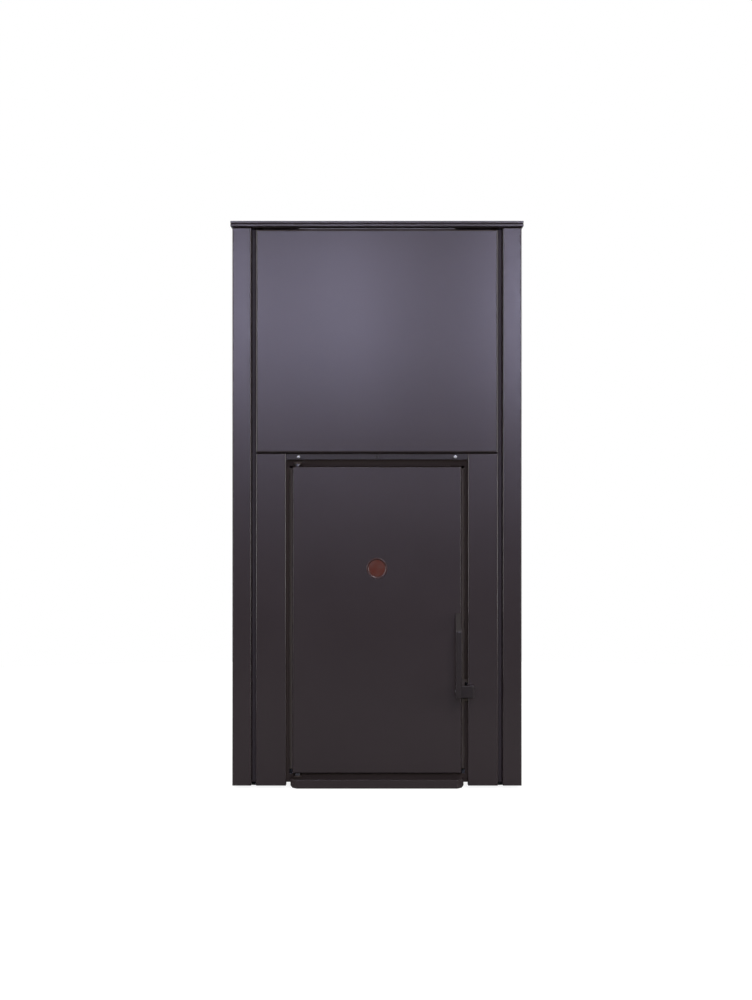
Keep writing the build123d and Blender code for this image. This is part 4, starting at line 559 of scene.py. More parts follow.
class Palette:
    """Makes each finish once."""

    recipes = {
        Coat.CASING: Coating("powder coat", linear(44, 37, 38), 0.235),
        # Side panels: the casing's powder coat, with painted light lifting the colour at the foot of the
        # grooves beside the columns.
        Coat.SIDE: Coating("side coat with painted groove light", linear(44, 37, 38), 0.235, groove_half=0.2955, groove_lip=-0.3665),
        Coat.BLACK: Coating("black paint", linear(24, 22, 22), 0.5, peel_depth=0.01 * MM, gloss=0.35),
        Coat.BODY: Coating("boiler paint", linear(104, 96, 91), 0.6, grain=1.6 * MM, peel_depth=0.04 * MM),
        Coat.ZINC: Zinc("galvanised sheet"),
        Coat.BRIGHT: BareMetal("bright steel", linear(196, 197, 198), 0.24),
        Coat.SPRING: BareMetal("spring steel", linear(112, 112, 118), 0.3, (1, 1, 0.2)),
        Coat.STAINLESS: HeatTint("stainless"),
        Coat.IRON: CastSkin("cast iron", linear(62, 59, 57), 0.62, dust=linear(120, 108, 96)),
        Coat.BOARD: PressedBoard("refractory board"),
        Coat.WOOL: FibreSlab("fibre slab"),
        Coat.ROPE: Braid("glass rope"),
        Coat.RUBBER: Moulding("rubber", linear(30, 30, 31), 0.6, 1.2 * MM, 0.03 * MM, 0.35),
        Coat.GLASS: FireGlass("fire glass"),
        Coat.ALUMINIUM: CastSkin("die-cast aluminium", linear(186, 189, 192), 0.42, 0.9 * MM, 0.03 * MM, 1.0,
                                 linear(140, 142, 146)),
        Coat.BRASS: BareMetal("brass", linear(196, 160, 92), 0.3, (1, 1, 1), linear(110, 78, 40), 0.4),
        Coat.PUMP: CastSkin("pump paint", linear(46, 50, 54), 0.45, 2.4 * MM, 0.1 * MM),
        Coat.VESSEL: Coating("vessel enamel", linear(176, 30, 26), 0.3, peel_depth=0.04 * MM),
        Coat.PANEL: Moulding("panel moulding", linear(34, 34, 36), 0.5),
        Coat.KEY: Moulding("key moulding", linear(150, 151, 153), 0.42),
        Coat.KNOB: Moulding("knob moulding", linear(170, 30, 26), 0.32),
        Coat.ROCKER: Moulding("rocker moulding", linear(24, 24, 25), 0.25),
        # Painted light: the black paint of the frame and hinge brackets, lightened to offset the shade in the
        # recess round the door.
        Coat.RECESS_PAINTED_LIGHT: Coating("recess paint lightened as painted light", linear(58, 50, 47), 0.7, gloss=0.15),
        Coat.LEVER: Coating("lever paint", linear(38, 33, 33), 0.3, gloss=0.3),
        # Painted highlight: light bare metal on the pull lip's edge stands for the light that edge catches.
        Coat.LIP_HIGHLIGHT: BareMetal("painted lip highlight", linear(150, 147, 152), 0.5, (0.2, 1, 1)),
        Coat.BEZEL: Coating("bezel enamel", linear(52, 28, 25), 0.3, peel_depth=0.004 * MM),
        Coat.DISPLAY: Moulding("display window", linear(10, 12, 14), 0.08, 3 * MM, 0.002 * MM, 0.6),
        Coat.LEGEND: Moulding("key legend", linear(34, 35, 37), 0.5, 0.4 * MM, 0.01 * MM),
    }

    def __init__(self) -> None:
        """Start with nothing made."""
        self.made: Dict[Coat, Material] = {}

    def get(self, coat: Coat) -> Material:
        """The material of a finish.

        Args:
            coat: The finish.

        Returns:
            Its material, made at the first call.
        """
        if coat not in self.made:
            self.made[coat] = self.recipes[coat].make()
        return self.made[coat]

    def dress(self, coat: Coat, *nodes: str) -> None:
        """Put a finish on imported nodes.

        Args:
            coat: The finish.
            nodes: Names of the nodes.
        """
        for name in nodes:
            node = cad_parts[name]
            slots = node.material_slots
            if not slots:
                node.data.materials.append(self.get(coat))
            for place in slots:
                place.material = self.get(coat)


class Shape:
    """Corners and faces of a piece while it is built."""

    def __init__(self) -> None:
        """Start empty."""
        self.corners: List[Vector] = []
        self.faces: List[Tuple[int, ...]] = []
        self.chart: Dict[int, Tuple[float, float]] = {}

    def skin(self, rings: Sequence[Sequence[Vector]], caps: bool = True, looped: bool = False) -> None:
        """Join rings of corners into a skin.

        Args:
            rings: Rings with the same number of corners.
            caps: Whether the first and last rings are filled.
            looped: Whether the last ring joins the first.
        """
        base = len(self.corners)
        sides = len(rings[0])
        for ring in rings:
            self.corners.extend(ring)
        count = len(rings)
        for i in range(count if looped else count - 1):
            near, far = base + i * sides, base + (i + 1) % count * sides
            for k in range(sides):
                n = (k + 1) % sides
                self.faces.append((near + k, near + n, far + n, far + k))
        if caps and not looped:
            self.faces.append(tuple(base + k for k in reversed(range(sides))))
            self.faces.append(tuple(base + (count - 1) * sides + k for k in range(sides)))

    def slab(self, centre: Point, half: Tuple[float, float], levels: Iterable[Tuple[float, float]]) -> None:
        """Add a flat block whose outline changes with the height.

        Args:
            centre: Middle of its foot.
            half: Half its size along X and Y.
            levels: For each level, how far the outline grows and how high it lies.
        """
        x, y, z = centre
        rings = []
        for grow, rise in levels:
            hx, hy = half[0] + grow, half[1] + grow
            rings.append([Vector((x + sx * hx, y + sy * hy, z + rise)) for sx, sy in SQUARE])
        self.skin(rings)

    def piece(self, name: str, palette: Palette, coat: Coat, body: str,
              smooth: float = 35.0) -> bpy.types.Object:
        """Turn the shape into a piece that rides on a body.

        Args:
            name: The piece's name.
            palette: Where the finish comes from.
            coat: The finish.
            body: The body that carries the piece.
            smooth: Edges flatter than this many degrees are smooth.

        Returns:
            The piece.
        """
        mesh = bpy.data.meshes.new(name)
        mesh.from_pydata([tuple(c) for c in self.corners], [], self.faces)
        if self.chart:
            layer = mesh.uv_layers.new(name="UVMap")
            for loop in mesh.loops:
                layer.data[loop.index].uv = self.chart[loop.vertex_index]
        mesh.shade_smooth()
        mesh.set_sharp_from_angle(angle=math.radians(smooth))
        mesh.materials.append(palette.get(coat))
        piece = bpy.data.objects.new(name, mesh)
        bpy.context.scene.collection.objects.link(piece)
        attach(piece, body)
        LOG.info("%s: %d faces on %s", name, len(self.faces), body)
        return piece


def square_to(axis: Vector) -> Tuple[Vector, Vector, Vector]:
    """Two directions square to an axis, and the axis itself.

    Args:
        axis: Any direction.

    Returns:
        The two square directions and the axis as unit vectors.
    """
    up = axis.normalized()
    helper = Vector((0, 0, 1)) if abs(up.z) < 0.9 else Vector((1, 0, 0))
    across = helper.cross(up).normalized()
    return across, up.cross(across), up


Level = Tuple[Callable[[float], float], float]


class Drive(Enum):
    """The recess or outline of a screw or nut."""

    TORX = "torx"
    SOCKET = "socket"
    CROSS = "cross"
    NUT = "nut"
    RIVET = "rivet"


@dataclass(frozen=True)
class Fastener:
    """A screw head, nut or rivet head, turned and driven."""

    drive: Drive
    radius: float
    height: float
    sides: int = 24
    shank: float = 0.0

    def _recess(self, angle: float) -> float:
        """Radius of the recess at an angle.

        Args:
            angle: Angle round the head.

        Returns:
            How far the recess reaches there.
        """
        r = self.radius
        if self.drive is Drive.SOCKET:
            return hexagon(angle, r * 0.42)
        if self.drive is Drive.CROSS:
            return r * (0.16 + 0.4 * abs(math.cos(2 * angle)) ** 6)
        return r * (0.4 + 0.09 * math.cos(6 * angle))

    def _turned(self, *steps: Tuple[float, float]) -> List[Level]:
        """Round levels, given as shares of the radius and the height."""
        return [(lambda angle, share=share: self.radius * share, self.height * rise) for share, rise in steps]

    def _levels(self) -> List[Level]:
        """Outline functions with their heights.

        Returns:
            The levels from the seat to the middle.
        """
        if self.drive is Drive.NUT:
            outline: Callable[[float], float] = lambda angle: hexagon(angle, self.radius * 0.82)
            return [*self._turned((1.12, 0.0), (1.12, 0.16)), (outline, self.height * 0.2),
                    (outline, self.height * 0.92),
                    *self._turned((0.78, 1.0), (0.5, 1.0), (0.46, 1.35), (0.3, 1.4))]
        if self.drive is Drive.RIVET:
            return self._turned((1.0, 0.0), (0.92, 0.5), (0.6, 0.92), (0.28, 1.0), (0.24, 0.6))
        head = self._turned((1.0, 0.0), (1.0, 0.3), (0.95, 0.58), (0.84, 0.8), (0.7, 0.94), (0.6, 1.0))
        head += [(self._recess, self.height), (self._recess, self.height * 0.4)]
        if self.shank:
            neck = self._turned((0.5, 0.0))
            head = [(neck[0][0], -self.shank), *neck, *head]
        return head

    def put(self, shape: Shape, places: Iterable[Point], axis: Point) -> None:
        """Add the fastener at each place.

        Args:
            shape: The shape that takes them.
            places: Where they sit, on the surface.
            axis: The way the heads face.
        """
        across, upright, out = square_to(Vector(axis))
        chance = Random(len(shape.corners) + 7)
        for place in places:
            spin = chance.uniform(0, math.pi)
            ways = [(a, across * math.cos(a + spin) + upright * math.sin(a + spin)) for a in turn(self.sides)]
            shape.skin([[Vector(place) + way * outline(a) + out * height for a, way in ways]
                        for outline, height in self._levels()])


@dataclass(frozen=True)
class Bead:
    """A welded seam with its rippled crown."""

    radius: float = 2.4 * MM
    pitch: float = 2.6 * MM
    sides: int = 8

    def _ring(self, centre: Vector, first: Vector, second: Vector, step: int, waver: Random,
              share: float = 1.0) -> List[Vector]:
        """One ring of the bead in the plane of two directions, swollen at every other step and unevenly."""
        swell = self.radius * (1 + 0.12 * (step % 2) + waver.uniform(-0.1, 0.1)) * share
        return [centre + (first * math.cos(a) + second * math.sin(a)) * swell for a in turn(self.sides)]

    def run(self, shape: Shape, start: Point, end: Point) -> None:
        """Lay a straight bead.

        Args:
            shape: The shape that takes it.
            start: Where it starts.
            end: Where it ends.
        """
        first, last = Vector(start), Vector(end)
        across, upright, _ = square_to(last - first)
        steps = max(2, int((last - first).length / self.pitch))
        waver = Random(round((first.length + last.length) * 1e5))
        rings = []
        for i in range(steps + 1):
            share = 0.5 if i in (0, steps) else 1.0
            rings.append(self._ring(first.lerp(last, i / steps), across, upright, i, waver, share))
        shape.skin(rings)

    def circle(self, shape: Shape, centre: Point, radius: float, axis: Point) -> None:
        """Lay a bead round a circle.

        Args:
            shape: The shape that takes it.
            centre: Middle of the circle.
            radius: Radius of the circle.
            axis: The circle's axis.
        """
        across, upright, out = square_to(Vector(axis))
        steps = max(12, int(2 * math.pi * radius / self.pitch))
        waver = Random(steps)
        rings = []
        for i, a in enumerate(turn(steps)):
            way = across * math.cos(a) + upright * math.sin(a)
            rings.append(self._ring(Vector(centre) + way * radius, way, out, i, waver))
        shape.skin(rings, looped=True)


def rounded_route(half: float, low: float, high: float, radius: float,
                  step: float) -> List[Tuple[float, float, Vector]]:
    """Points round a rectangle with round corners.

    Args:
        half: Half the width.
        low: Lower end.
        high: Upper end.
        radius: Radius of the corners.
        step: Rough distance between points.

    Returns:
        Both coordinates of each point, and the outward direction there.
    """
    corners = [(half - radius, high - radius, 0.0), (-half + radius, high - radius, 90.0),
               (-half + radius, low + radius, 180.0), (half - radius, low + radius, 270.0)]
    route: List[Tuple[float, float, Vector]] = []
    bend = max(4, int(radius * math.pi / 2 / step))
    for i, (cx, cz, start) in enumerate(corners):
        for k in range(bend + 1):
            a = math.radians(start + 90 * k / bend)
            out = Vector((math.cos(a), math.sin(a)))
            route.append((cx + radius * math.cos(a), cz + radius * math.sin(a), out))
        nx, nz, nstart = corners[(i + 1) % 4]
        a = math.radians(nstart)
        out = Vector((math.cos(a), math.sin(a)))
        x, z, _ = route[-1]
        dx, dz = nx + radius * math.cos(a) - x, nz + radius * math.sin(a) - z
        count = max(2, int(math.hypot(dx, dz) / step))
        route += [(x + dx * (k / count), z + dz * (k / count), out) for k in range(1, count)]
    return route


def grid(xs: Iterable[float], ys: Iterable[float]) -> List[Tuple[float, float]]:
    """Every pair of two sets of values, the first one slowest."""
    second = tuple(ys)
    return [(x, y) for x in xs for y in second]


@dataclass
class Assembly:
    """A group of nodes with their finishes and the pieces added to them."""

    palette: Palette
    finishes: ClassVar[Mapping[Coat, Tuple[str, ...]]] = {}

    def dress(self) -> None:
        """Give the group's nodes their finishes."""
        for coat, nodes in self.finishes.items():
            self.palette.dress(coat, *nodes)

    def build(self) -> None:
        """Add the group's own pieces."""
        raise NotImplementedError

    def fasten(self, name: str, kind: Fastener, places: Iterable[Point], axis: Point,
               body: str = "casing") -> None:
        """Add bright fasteners of one kind as one piece.

        Args:
            name: The piece's name.
            kind: The fastener.
            places: Where their seats lie.
            axis: The way they face.
            body: The body that carries them.
        """
        shape = Shape()
        kind.put(shape, places, axis)
        shape.piece(name, self.palette, Coat.BRIGHT, body)


@dataclass
class Casing(Assembly):
    """Side panels, front parts, base and back of the casing."""

    finishes = {
        Coat.SIDE: ("side_panel_left", "side_panel_right"),
        Coat.CASING: ("lower_left_fascia", "lower_right_fascia", "door_sill", "rear_panel", "top_plate"),
        Coat.LEVER: ("door_header",),
        # The frame and hinge brackets take the black paint lightened as painted light against the recess's
        # shade.
        Coat.RECESS_PAINTED_LIGHT: ("front_frame", "door_hinge_brackets"),
        Coat.ZINC: ("base_frame",),
        Coat.BRIGHT: ("levelling_feet", "header_screws", "lid_hinge_leaves", "roller_catch"),
        Coat.SPRING: ("panel_spring_clips", "door_hinge_pins"),
    }
    screw: Fastener = Fastener(Drive.TORX, 4.2 * MM, 2.2 * MM)
    rear_inset: float = 11 * MM
    screw_rows: Tuple[float, ...] = (0.045, 0.27, 0.52, 0.77, 1.02, 1.27)
    leaf_x: float = 0.22
    leaf_reach: float = 18 * MM
    leaf_rise: float = 9 * MM
    leaf_sheet: float = 2 * MM
    header_head: float = 3.7 * MM
    header_inset: float = 4.6 * MM

    def build(self) -> None:
        """Add the screws of the header, the back and the lid's hinge leaves."""
        self._header_screws()
        low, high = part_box("rear_panel")
        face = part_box("side_panel_right")[1].y
        rows = grid((low.x + self.rear_inset, high.x - self.rear_inset), self.screw_rows)
        self.fasten("rear_panel_screws", self.screw, [(x, face, z) for x, z in rows], BACK)
        back, z = face + self.leaf_sheet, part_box("lid_hinge_leaves")[0].z + self.leaf_rise
        leaves = grid((-self.leaf_x, self.leaf_x), (-self.leaf_reach, self.leaf_reach))
        self.fasten("hinge_leaf_screws", self.screw, [(x + dx, back, z) for x, dx in leaves], BACK)

    def _header_screws(self) -> None:
        """Cross-recessed screws in place of the plain solids over the door."""
        low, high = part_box("header_screws")
        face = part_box("door_header")[0].y
        middle = (low.z + high.z) / 2
        reach = high.x - self.header_inset
        head = Fastener(Drive.CROSS, self.header_head, face - low.y, 32, high.y - face)
        for name, coat, xs in (("outer_header_screws", Coat.BRIGHT, (-reach, reach)),
                               ("middle_header_screw", Coat.LEVER, (0.0,))):
            shape = Shape()
            head.put(shape, [(x, face, middle) for x in xs], FRONT)
            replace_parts(shape.piece(name, self.palette, coat, "casing", 50), "header_screws")


@dataclass
class Lid(Assembly):
    """Hopper lid with its rubber seal."""

    finishes = {Coat.CASING: ("hopper_lid",)}
    width: float = 9.0 * MM
    inset: float = 5.5 * MM
    corner: float = 20 * MM
    step: float = 12 * MM

    def build(self) -> None:
        """Add the lipped rubber seal in place of its plain solid."""
        low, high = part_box("lid_seal")
        half = (high.x - low.x) / 2 - self.inset
        shape = Shape()
        w, top, foot = self.width / 2, high.z, low.z
        left = [(-w, top), (-w, top - 1.2 * MM), (-w * 0.62, foot + 1.6 * MM), (-w * 0.75, foot + 0.7 * MM),
                (-w * 0.5, foot), (-w * 0.2, foot + 0.5 * MM)]
        section = [*left, (0, foot + 1.9 * MM), *((-s, z) for s, z in reversed(left))]
        rings = []
        for x, y, out in rounded_route(half, low.y + self.inset, high.y - self.inset, self.corner, self.step):
            rings.append([Vector((x + out.x * s, y + out.y * s, z)) for s, z in section])
        shape.skin(rings, looped=True)
        seal = shape.piece("lipped_lid_seal", self.palette, Coat.RUBBER, "lid", 60)
        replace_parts(seal, "lid_seal")


@dataclass
class UpperPanel(Assembly):
    """Pull-off upper panel with its pull lip."""

    finishes = {Coat.CASING: ("upper_front_panel",), Coat.BRIGHT: ("panel_studs",)}
    lip_half: float = 181 * MM

    def build(self) -> None:
        """Add the rolled edge of the pull lip in light bare metal: a painted highlight where the lip's edge
        catches the light.
        """
        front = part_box("upper_front_panel")[0].y
        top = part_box("side_panel_right")[1].z
        section = [(0.7, -1.7), (0.4, -1.3), (0.4, -0.7), (0.8, -0.3), (2.4, -0.3), (2.4, -1.7)]
        shape = Shape()
        rings = []
        for share in (-1.0, -0.99, 0.99, 1.0):
            x, shrink = share * self.lip_half, 1.0 if abs(share) < 1 else 0.6
            rings.append([Vector((x, front + y * MM, top + (z * shrink - 1 + shrink) * MM))
                          for y, z in section])
        shape.skin(rings)
        shape.piece("pull_lip_painted_highlight", self.palette, Coat.LIP_HIGHLIGHT, "front_panel")


@dataclass
class FireDoor(Assembly):
    """Fire door with its glass, rope seal, slab and lever."""

    finishes = {
        Coat.CASING: ("door_shell",), Coat.BLACK: ("door_inner_plate",), Coat.LEVER: ("handle_lever",),
        Coat.BRIGHT: ("handle_spindle",), Coat.STAINLESS: ("sight_glass_ring",), Coat.GLASS: ("sight_glass",),
        Coat.WOOL: ("door_insulation",),
    }
    rope_half: float = 4 * MM
    rope_corner: float = 9 * MM
    rope_step: float = 1.6 * MM
    rope_sides: int = 14
    plait: float = 4 * MM
    nut: Fastener = Fastener(Drive.NUT, 6 * MM, 5 * MM)
    nut_x: float = 0.183
    nut_rows: Tuple[float, ...] = (0.06, 0.36, 0.66, 0.96)
    spindle_z: float = 0.2265
    spindle_room: float = 0.03
    bezel_sides: int = 96

    def build(self) -> None:
        """Add the rope seal, the nuts of the inner plate and the glass's rolled edge."""
        self._rope()
        low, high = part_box("door_inner_plate")
        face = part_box("door_shell")[1].y
        rows = [low.z + (high.z - low.z) * share for share in self.nut_rows]
        places = [(x, face, z) for x, z in grid((-self.nut_x, self.nut_x), rows)
                  if x < 0 or abs(z - self.spindle_z) >= self.spindle_room]
        self.fasten("inner_plate_nuts", self.nut, places, BACK, "door")
        self._bezel()

    def _bezel(self) -> None:
        """Rolled edge round the sight glass."""
        low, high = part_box("sight_glass")
        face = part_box("door_shell")[0].y
        middle = (low.z + high.z) / 2
        section = [(-3.2, 0.85), (-3.2, 0.55), (-2.6, 0.3), (-1.8, -0.1), (-0.9, -0.42), (0.0, -0.6),
                   (0.8, -0.6), (1.3, -0.3), (1.5, 0.1)]
        profile = [(high.x + out * MM, face + rise * MM) for out, rise in section]
        shape = Shape()
        shape.skin([[Vector((r * math.cos(a), y, middle + r * math.sin(a))) for r, y in profile]
                    for a in turn(self.bezel_sides)], looped=True)
        shape.piece("sight_glass_bezel", self.palette, Coat.BEZEL, "door", 60)

    def _rope(self) -> None:
        """Braided rope seal in place of its plain solid."""
        low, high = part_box("door_rope_seal")
        thick = (high.y - low.y) / 2
        wide = self.rope_half
        middle = (low.y + high.y) / 2
        route = rounded_route(high.x - wide, low.z + wide, high.z - wide, self.rope_corner, self.rope_step)
        shape = Shape()
        rings = []
        run = 0.0
        last: Optional[Tuple[float, float]] = None
        for x, z, out in route:
            if last is not None:
                run += math.hypot(x - last[0], z - last[1])
            last = (x, z)
            ring = []
            for k, a in enumerate(turn(self.rope_sides)):
                swell = 1 - 0.05 * (1 + math.cos(2 * math.pi * run / self.plait + 3 * a))
                side, depth = wide * math.cos(a) * swell, thick * math.sin(a) * swell
                shape.chart[len(rings) * self.rope_sides + k] = (run, k / self.rope_sides)
                ring.append(Vector((x + out.x * side, middle + depth, z + out.y * side)))
            rings.append(ring)
        shape.skin(rings, looped=True)
        rope = shape.piece("braided_rope_seal", self.palette, Coat.ROPE, "door", 80)
        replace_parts(rope, "door_rope_seal")


@dataclass
class BoilerBody(Assembly):
    """Welded body with its cover, firebox pieces and tube cleaning."""

    finishes = {
        Coat.BODY: ("boiler_body", "smoke_box_cover"), Coat.BOARD: ("firebox_lining",),
        Coat.IRON: ("burner_pot",), Coat.ZINC: ("ash_drawer",),
        Coat.STAINLESS: ("ignition_rod", "turbulator_rack"),
        Coat.BRIGHT: ("cleaning_crank",), Coat.BLACK: ("cleaning_gearmotor",),
    }
    bead: Bead = Bead()
    nut: Fastener = Fastener(Drive.NUT, 8 * MM, 6.5 * MM)
    cap: Fastener = Fastener(Drive.SOCKET, 4 * MM, 4 * MM)
    seam_inset: float = 0.8 * MM
    seam_end: float = 4 * MM
    socket_x: float = -0.19
    socket_rows: Tuple[float, ...] = (0.65, 0.11)
    socket_radius: float = 17.6 * MM
    cover_sheet: float = 8 * MM
    nut_inset: float = 12 * MM
    cap_inset: float = 7 * MM
    motor_length: float = 38 * MM

    def build(self) -> None:
        """Add the weld seams, the cover's nuts and the gearmotor's screws."""
        shape = Shape()
        self._seams(shape)
        shape.piece("body_weld_seams", self.palette, Coat.BODY, "casing", 50)
        low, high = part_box("smoke_box_cover")
        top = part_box("boiler_body")[1].z + self.cover_sheet
        inset = self.nut_inset
        corners = grid((low.x + inset, high.x - inset), (low.y + inset, high.y - inset))
        self.fasten("cover_nuts", self.nut, [(x, y, top) for x, y in corners], UP)
        low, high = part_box("cleaning_gearmotor")
        inset = self.cap_inset
        face = high.x - self.motor_length
        corners = grid((low.y + inset, high.y - inset), (low.z + inset, high.z - inset))
        self.fasten("gearmotor_screws", self.cap, [(face, y, z) for y, z in corners], LEFT)

    def _seams(self, shape: Shape) -> None:
        """Weld the body's twelve edges and its two sockets.

        Args:
            shape: The shape that takes the beads.
        """
        low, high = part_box("boiler_body")
        inset, end = self.seam_inset, self.seam_end
        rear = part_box("fan_housing")[0].y - 0.3 * MM
        xs = (low.x + inset, high.x - inset)
        ys = (low.y + inset, rear - inset)
        for x, y in grid(xs, ys):
            self.bead.run(shape, (x, y, low.z + end), (x, y, high.z - end))
        for z in (low.z + inset, high.z - inset):
            for y in ys:
                self.bead.run(shape, (low.x + end, y, z), (high.x - end, y, z))
            for x in xs:
                self.bead.run(shape, (x, low.y + end, z), (x, rear - end, z))
        for z in self.socket_rows:
            self.bead.circle(shape, (self.socket_x, rear, z), self.socket_radius, BACK)


@dataclass
class PelletFeed(Assembly):
    """Hopper, grid, feed screw and chute."""

    finishes = {
        Coat.ZINC: ("hopper", "auger_tube", "drop_chute"), Coat.BRIGHT: ("hopper_grille", "auger_screw"),
        Coat.ALUMINIUM: ("auger_gearmotor",),
    }
    rivet: Fastener = Fastener(Drive.RIVET, 3.2 * MM, 1.4 * MM, 16)
    flange: float = 10 * MM
    seam: float = 22 * MM
    rivet_rows: Tuple[float, ...] = tuple(1.18 + 0.024 * i for i in range(5))

    def build(self) -> None:
        """Add the rivets along the hopper's corner seams."""
        low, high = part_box("hopper")
        shape = Shape()
        for x, way in ((low.x + self.flange, -1), (high.x - self.flange, 1)):
            rows = grid((low.y + self.seam, high.y - self.seam), self.rivet_rows)
            self.rivet.put(shape, [(x, y, z) for y, z in rows], (way, 0, 0))
        shape.piece("hopper_rivets", self.palette, Coat.BRIGHT, "casing")


@dataclass
class ExhaustFan(Assembly):
    """Exhaust fan, flue spigot and air pipe."""

    finishes = {
        Coat.ZINC: ("fan_housing", "flue_spigot", "air_intake"), Coat.STAINLESS: ("fan_impeller",),
        Coat.ALUMINIUM: ("fan_motor",),
    }
    cap: Fastener = Fastener(Drive.SOCKET, 2.4 * MM, 2.6 * MM)
    scroll: float = 64 * MM
    flange_sheet: float = 3 * MM

    def build(self) -> None:
        """Add the screws of the scroll, the motor and both pipe flanges."""
        hub = self._middle(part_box("fan_impeller"))
        flange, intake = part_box("flue_spigot"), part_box("air_intake")
        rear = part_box("fan_housing")[0].y + self.scroll
        shape = Shape()
        for centre, radius, y, count, start, step in (
                (hub, 62 * MM, rear, 7, 150, 30), (hub, 23 * MM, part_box("fan_motor")[1].y, 3, 30, 120),
                (self._middle(flange), 52 * MM, flange[0].y + self.flange_sheet, 4, 45, 90),
                (self._middle(intake), 38.5 * MM, intake[0].y + self.flange_sheet, 4, 45, 90)):
            places = []
            for a in (math.radians(start + step * i) for i in range(count)):
                places.append((centre[0] + radius * math.cos(a), y, centre[1] + radius * math.sin(a)))
            self.cap.put(shape, places, BACK)
        shape.piece("fan_and_flange_screws", self.palette, Coat.BRIGHT, "casing")

    @staticmethod
    def _middle(box: Tuple[Vector, Vector]) -> Tuple[float, float]:
        """Middle of a box seen along Y."""
        return (box[0].x + box[1].x) / 2, (box[0].z + box[1].z) / 2


@dataclass
class WaterSide(Assembly):
    """Pump, expansion vessel, pipes and safety valve."""

    finishes = {
        Coat.PUMP: ("circulation_pump",), Coat.VESSEL: ("expansion_vessel",),
        Coat.BRASS: ("water_pipes", "safety_valve"), Coat.KNOB: ("safety_valve_knob",),
    }
    union_flat: float = 21 * MM
    union_bore: float = 18 * MM
    union_height: float = 9 * MM
    union_edge: float = 1.5 * MM
    union_sides: int = 48
    cap: Fastener = Fastener(Drive.SOCKET, 3.0 * MM, 3.0 * MM)
    cap_radius: float = 30 * MM

    def build(self) -> None:
        """Add the union nuts at both ends of the pump and the screws of its motor."""
        low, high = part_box("circulation_pump")
        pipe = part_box("water_pipes")
        x, y = (pipe[0].x + pipe[1].x) / 2, (low.y + high.y) / 2
        shape = Shape()
        flat, bore, edge, height = self.union_flat, self.union_bore, self.union_edge, self.union_height
        profile = ((bore, 0.0), (flat * 0.9, 0.0), (flat, edge), (flat, height), (flat * 0.9, height + edge),
                   (bore, height + edge))
        for end, way in ((low.z, 1), (high.z, -1)):
            rings = []
            for radius, rise in profile:
                ring = []
                for a in turn(self.union_sides):
                    r = radius if radius < flat else hexagon(a * way, flat)
                    z = end + rise * way - MM * way
                    ring.append(Vector((x + r * math.cos(a * way), y + r * math.sin(a * way), z)))
                rings.append(ring)
            shape.skin(rings, caps=False)
        shape.piece("pump_union_nuts", self.palette, Coat.BRASS, "casing")
        centre = (low.z + high.z) / 2
        places = [(low.x, y + self.cap_radius * math.cos(a), centre + self.cap_radius * math.sin(a))
                  for a in (math.radians(45 + 90 * i) for i in range(4))]
        self.fasten("pump_motor_screws", self.cap, places, LEFT)


@dataclass
class Controls(Assembly):
    """Control panel under the lid, its keys, and the mains inlet on the back."""

    finishes = {
        Coat.PANEL: ("control_panel", "mains_inlet"), Coat.KEY: ("key_power", "key_minus", "key_plus"),
        Coat.ROCKER: ("mains_rocker",),
    }
    display_x: float = -55 * MM
    display_half: Tuple[float, float] = (45 * MM, 20 * MM)
    display_sunk: float = 0.3 * MM
    arc_start: float = 125
    arc_sweep: float = 290
    arc_steps: int = 24

    def build(self) -> None:
        """Add the display window and the legends of the keys."""
        low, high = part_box("control_panel")
        shape = Shape()
        shape.slab((self.display_x, (low.y + high.y) / 2, high.z - self.display_sunk), self.display_half,
                   ((-0.2 * MM, -0.9 * MM), (-0.2 * MM, -0.25 * MM), (-0.9 * MM, 0.0)))
        shape.piece("display_window", self.palette, Coat.DISPLAY, "casing", 20)
        for name in self.finishes[Coat.KEY]:
            low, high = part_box(name)
            centre = (low + high) / 2
            x, y, z = centre.x, centre.y, high.z
            shape = Shape()
            if name == "key_power":
                self._arc(shape, x, y, z)
                self._bar(shape, x, y + 2.6 * MM, z, 0.45 * MM, 1.5 * MM)
            else:
                self._bar(shape, x, y, z, 3.0 * MM, 0.5 * MM)
            if name == "key_plus":
                for way in (1, -1):
                    self._bar(shape, x, y + way * 1.75 * MM, z, 0.5 * MM, 1.25 * MM)
            shape.piece(name + "_legend", self.palette, Coat.LEGEND, name)

    def _bar(self, shape: Shape, x: float, y: float, z: float, half_x: float, half_y: float) -> None:
        """Flat printed bar with a slightly domed top."""
        shape.slab((x, y, z), (half_x, half_y), ((0.0, -0.05 * MM), (0.0, 0.06 * MM), (-0.2 * MM, 0.12 * MM)))

    def _arc(self, shape: Shape, x: float, y: float, z: float) -> None:
        """Open ring of the power legend, with its gap to the back.

        Args:
            shape: The shape that takes it.
            x: Middle of the ring along X.
            y: Middle of the ring along Y.
            z: Height of the key's face.
        """
        rings = []
        for i in range(self.arc_steps + 1):
            a = math.radians(self.arc_start + self.arc_sweep * i / self.arc_steps)
            way = Vector((math.cos(a), math.sin(a), 0.0))
            rings.append([Vector((x, y, z)) + way * r * MM + Vector((0, 0, rise * MM))
                          for r, rise in ((2.4, -0.05), (3.2, -0.05), (3.15, 0.1), (2.45, 0.1))])
        shape.skin(rings)


@dataclass(frozen=True)
class Lamp:
    """A soft rectangular lamp: its place, target, width and height, watts and colour."""

    name: str
    place: Point
    target: Point
    size: Tuple[float, float]
    power: float
    colour: Colour = WHITE
    mirrored: bool = True

    def hang(self) -> None:
        """Add the lamp to the studio."""
        data = bpy.data.lights.new(self.name, "AREA")
        data.shape = "RECTANGLE"
        data.size, data.size_y = self.size
        data.energy = self.power
        data.color = self.colour
        lamp = bpy.data.objects.new(self.name, data)
        lamp.location = self.place
        lamp.visible_glossy = self.mirrored
        lamp.rotation_euler = (Vector(self.target) - Vector(self.place)).to_track_quat("-Z", "Y").to_euler()
        bpy.context.scene.collection.objects.link(lamp)


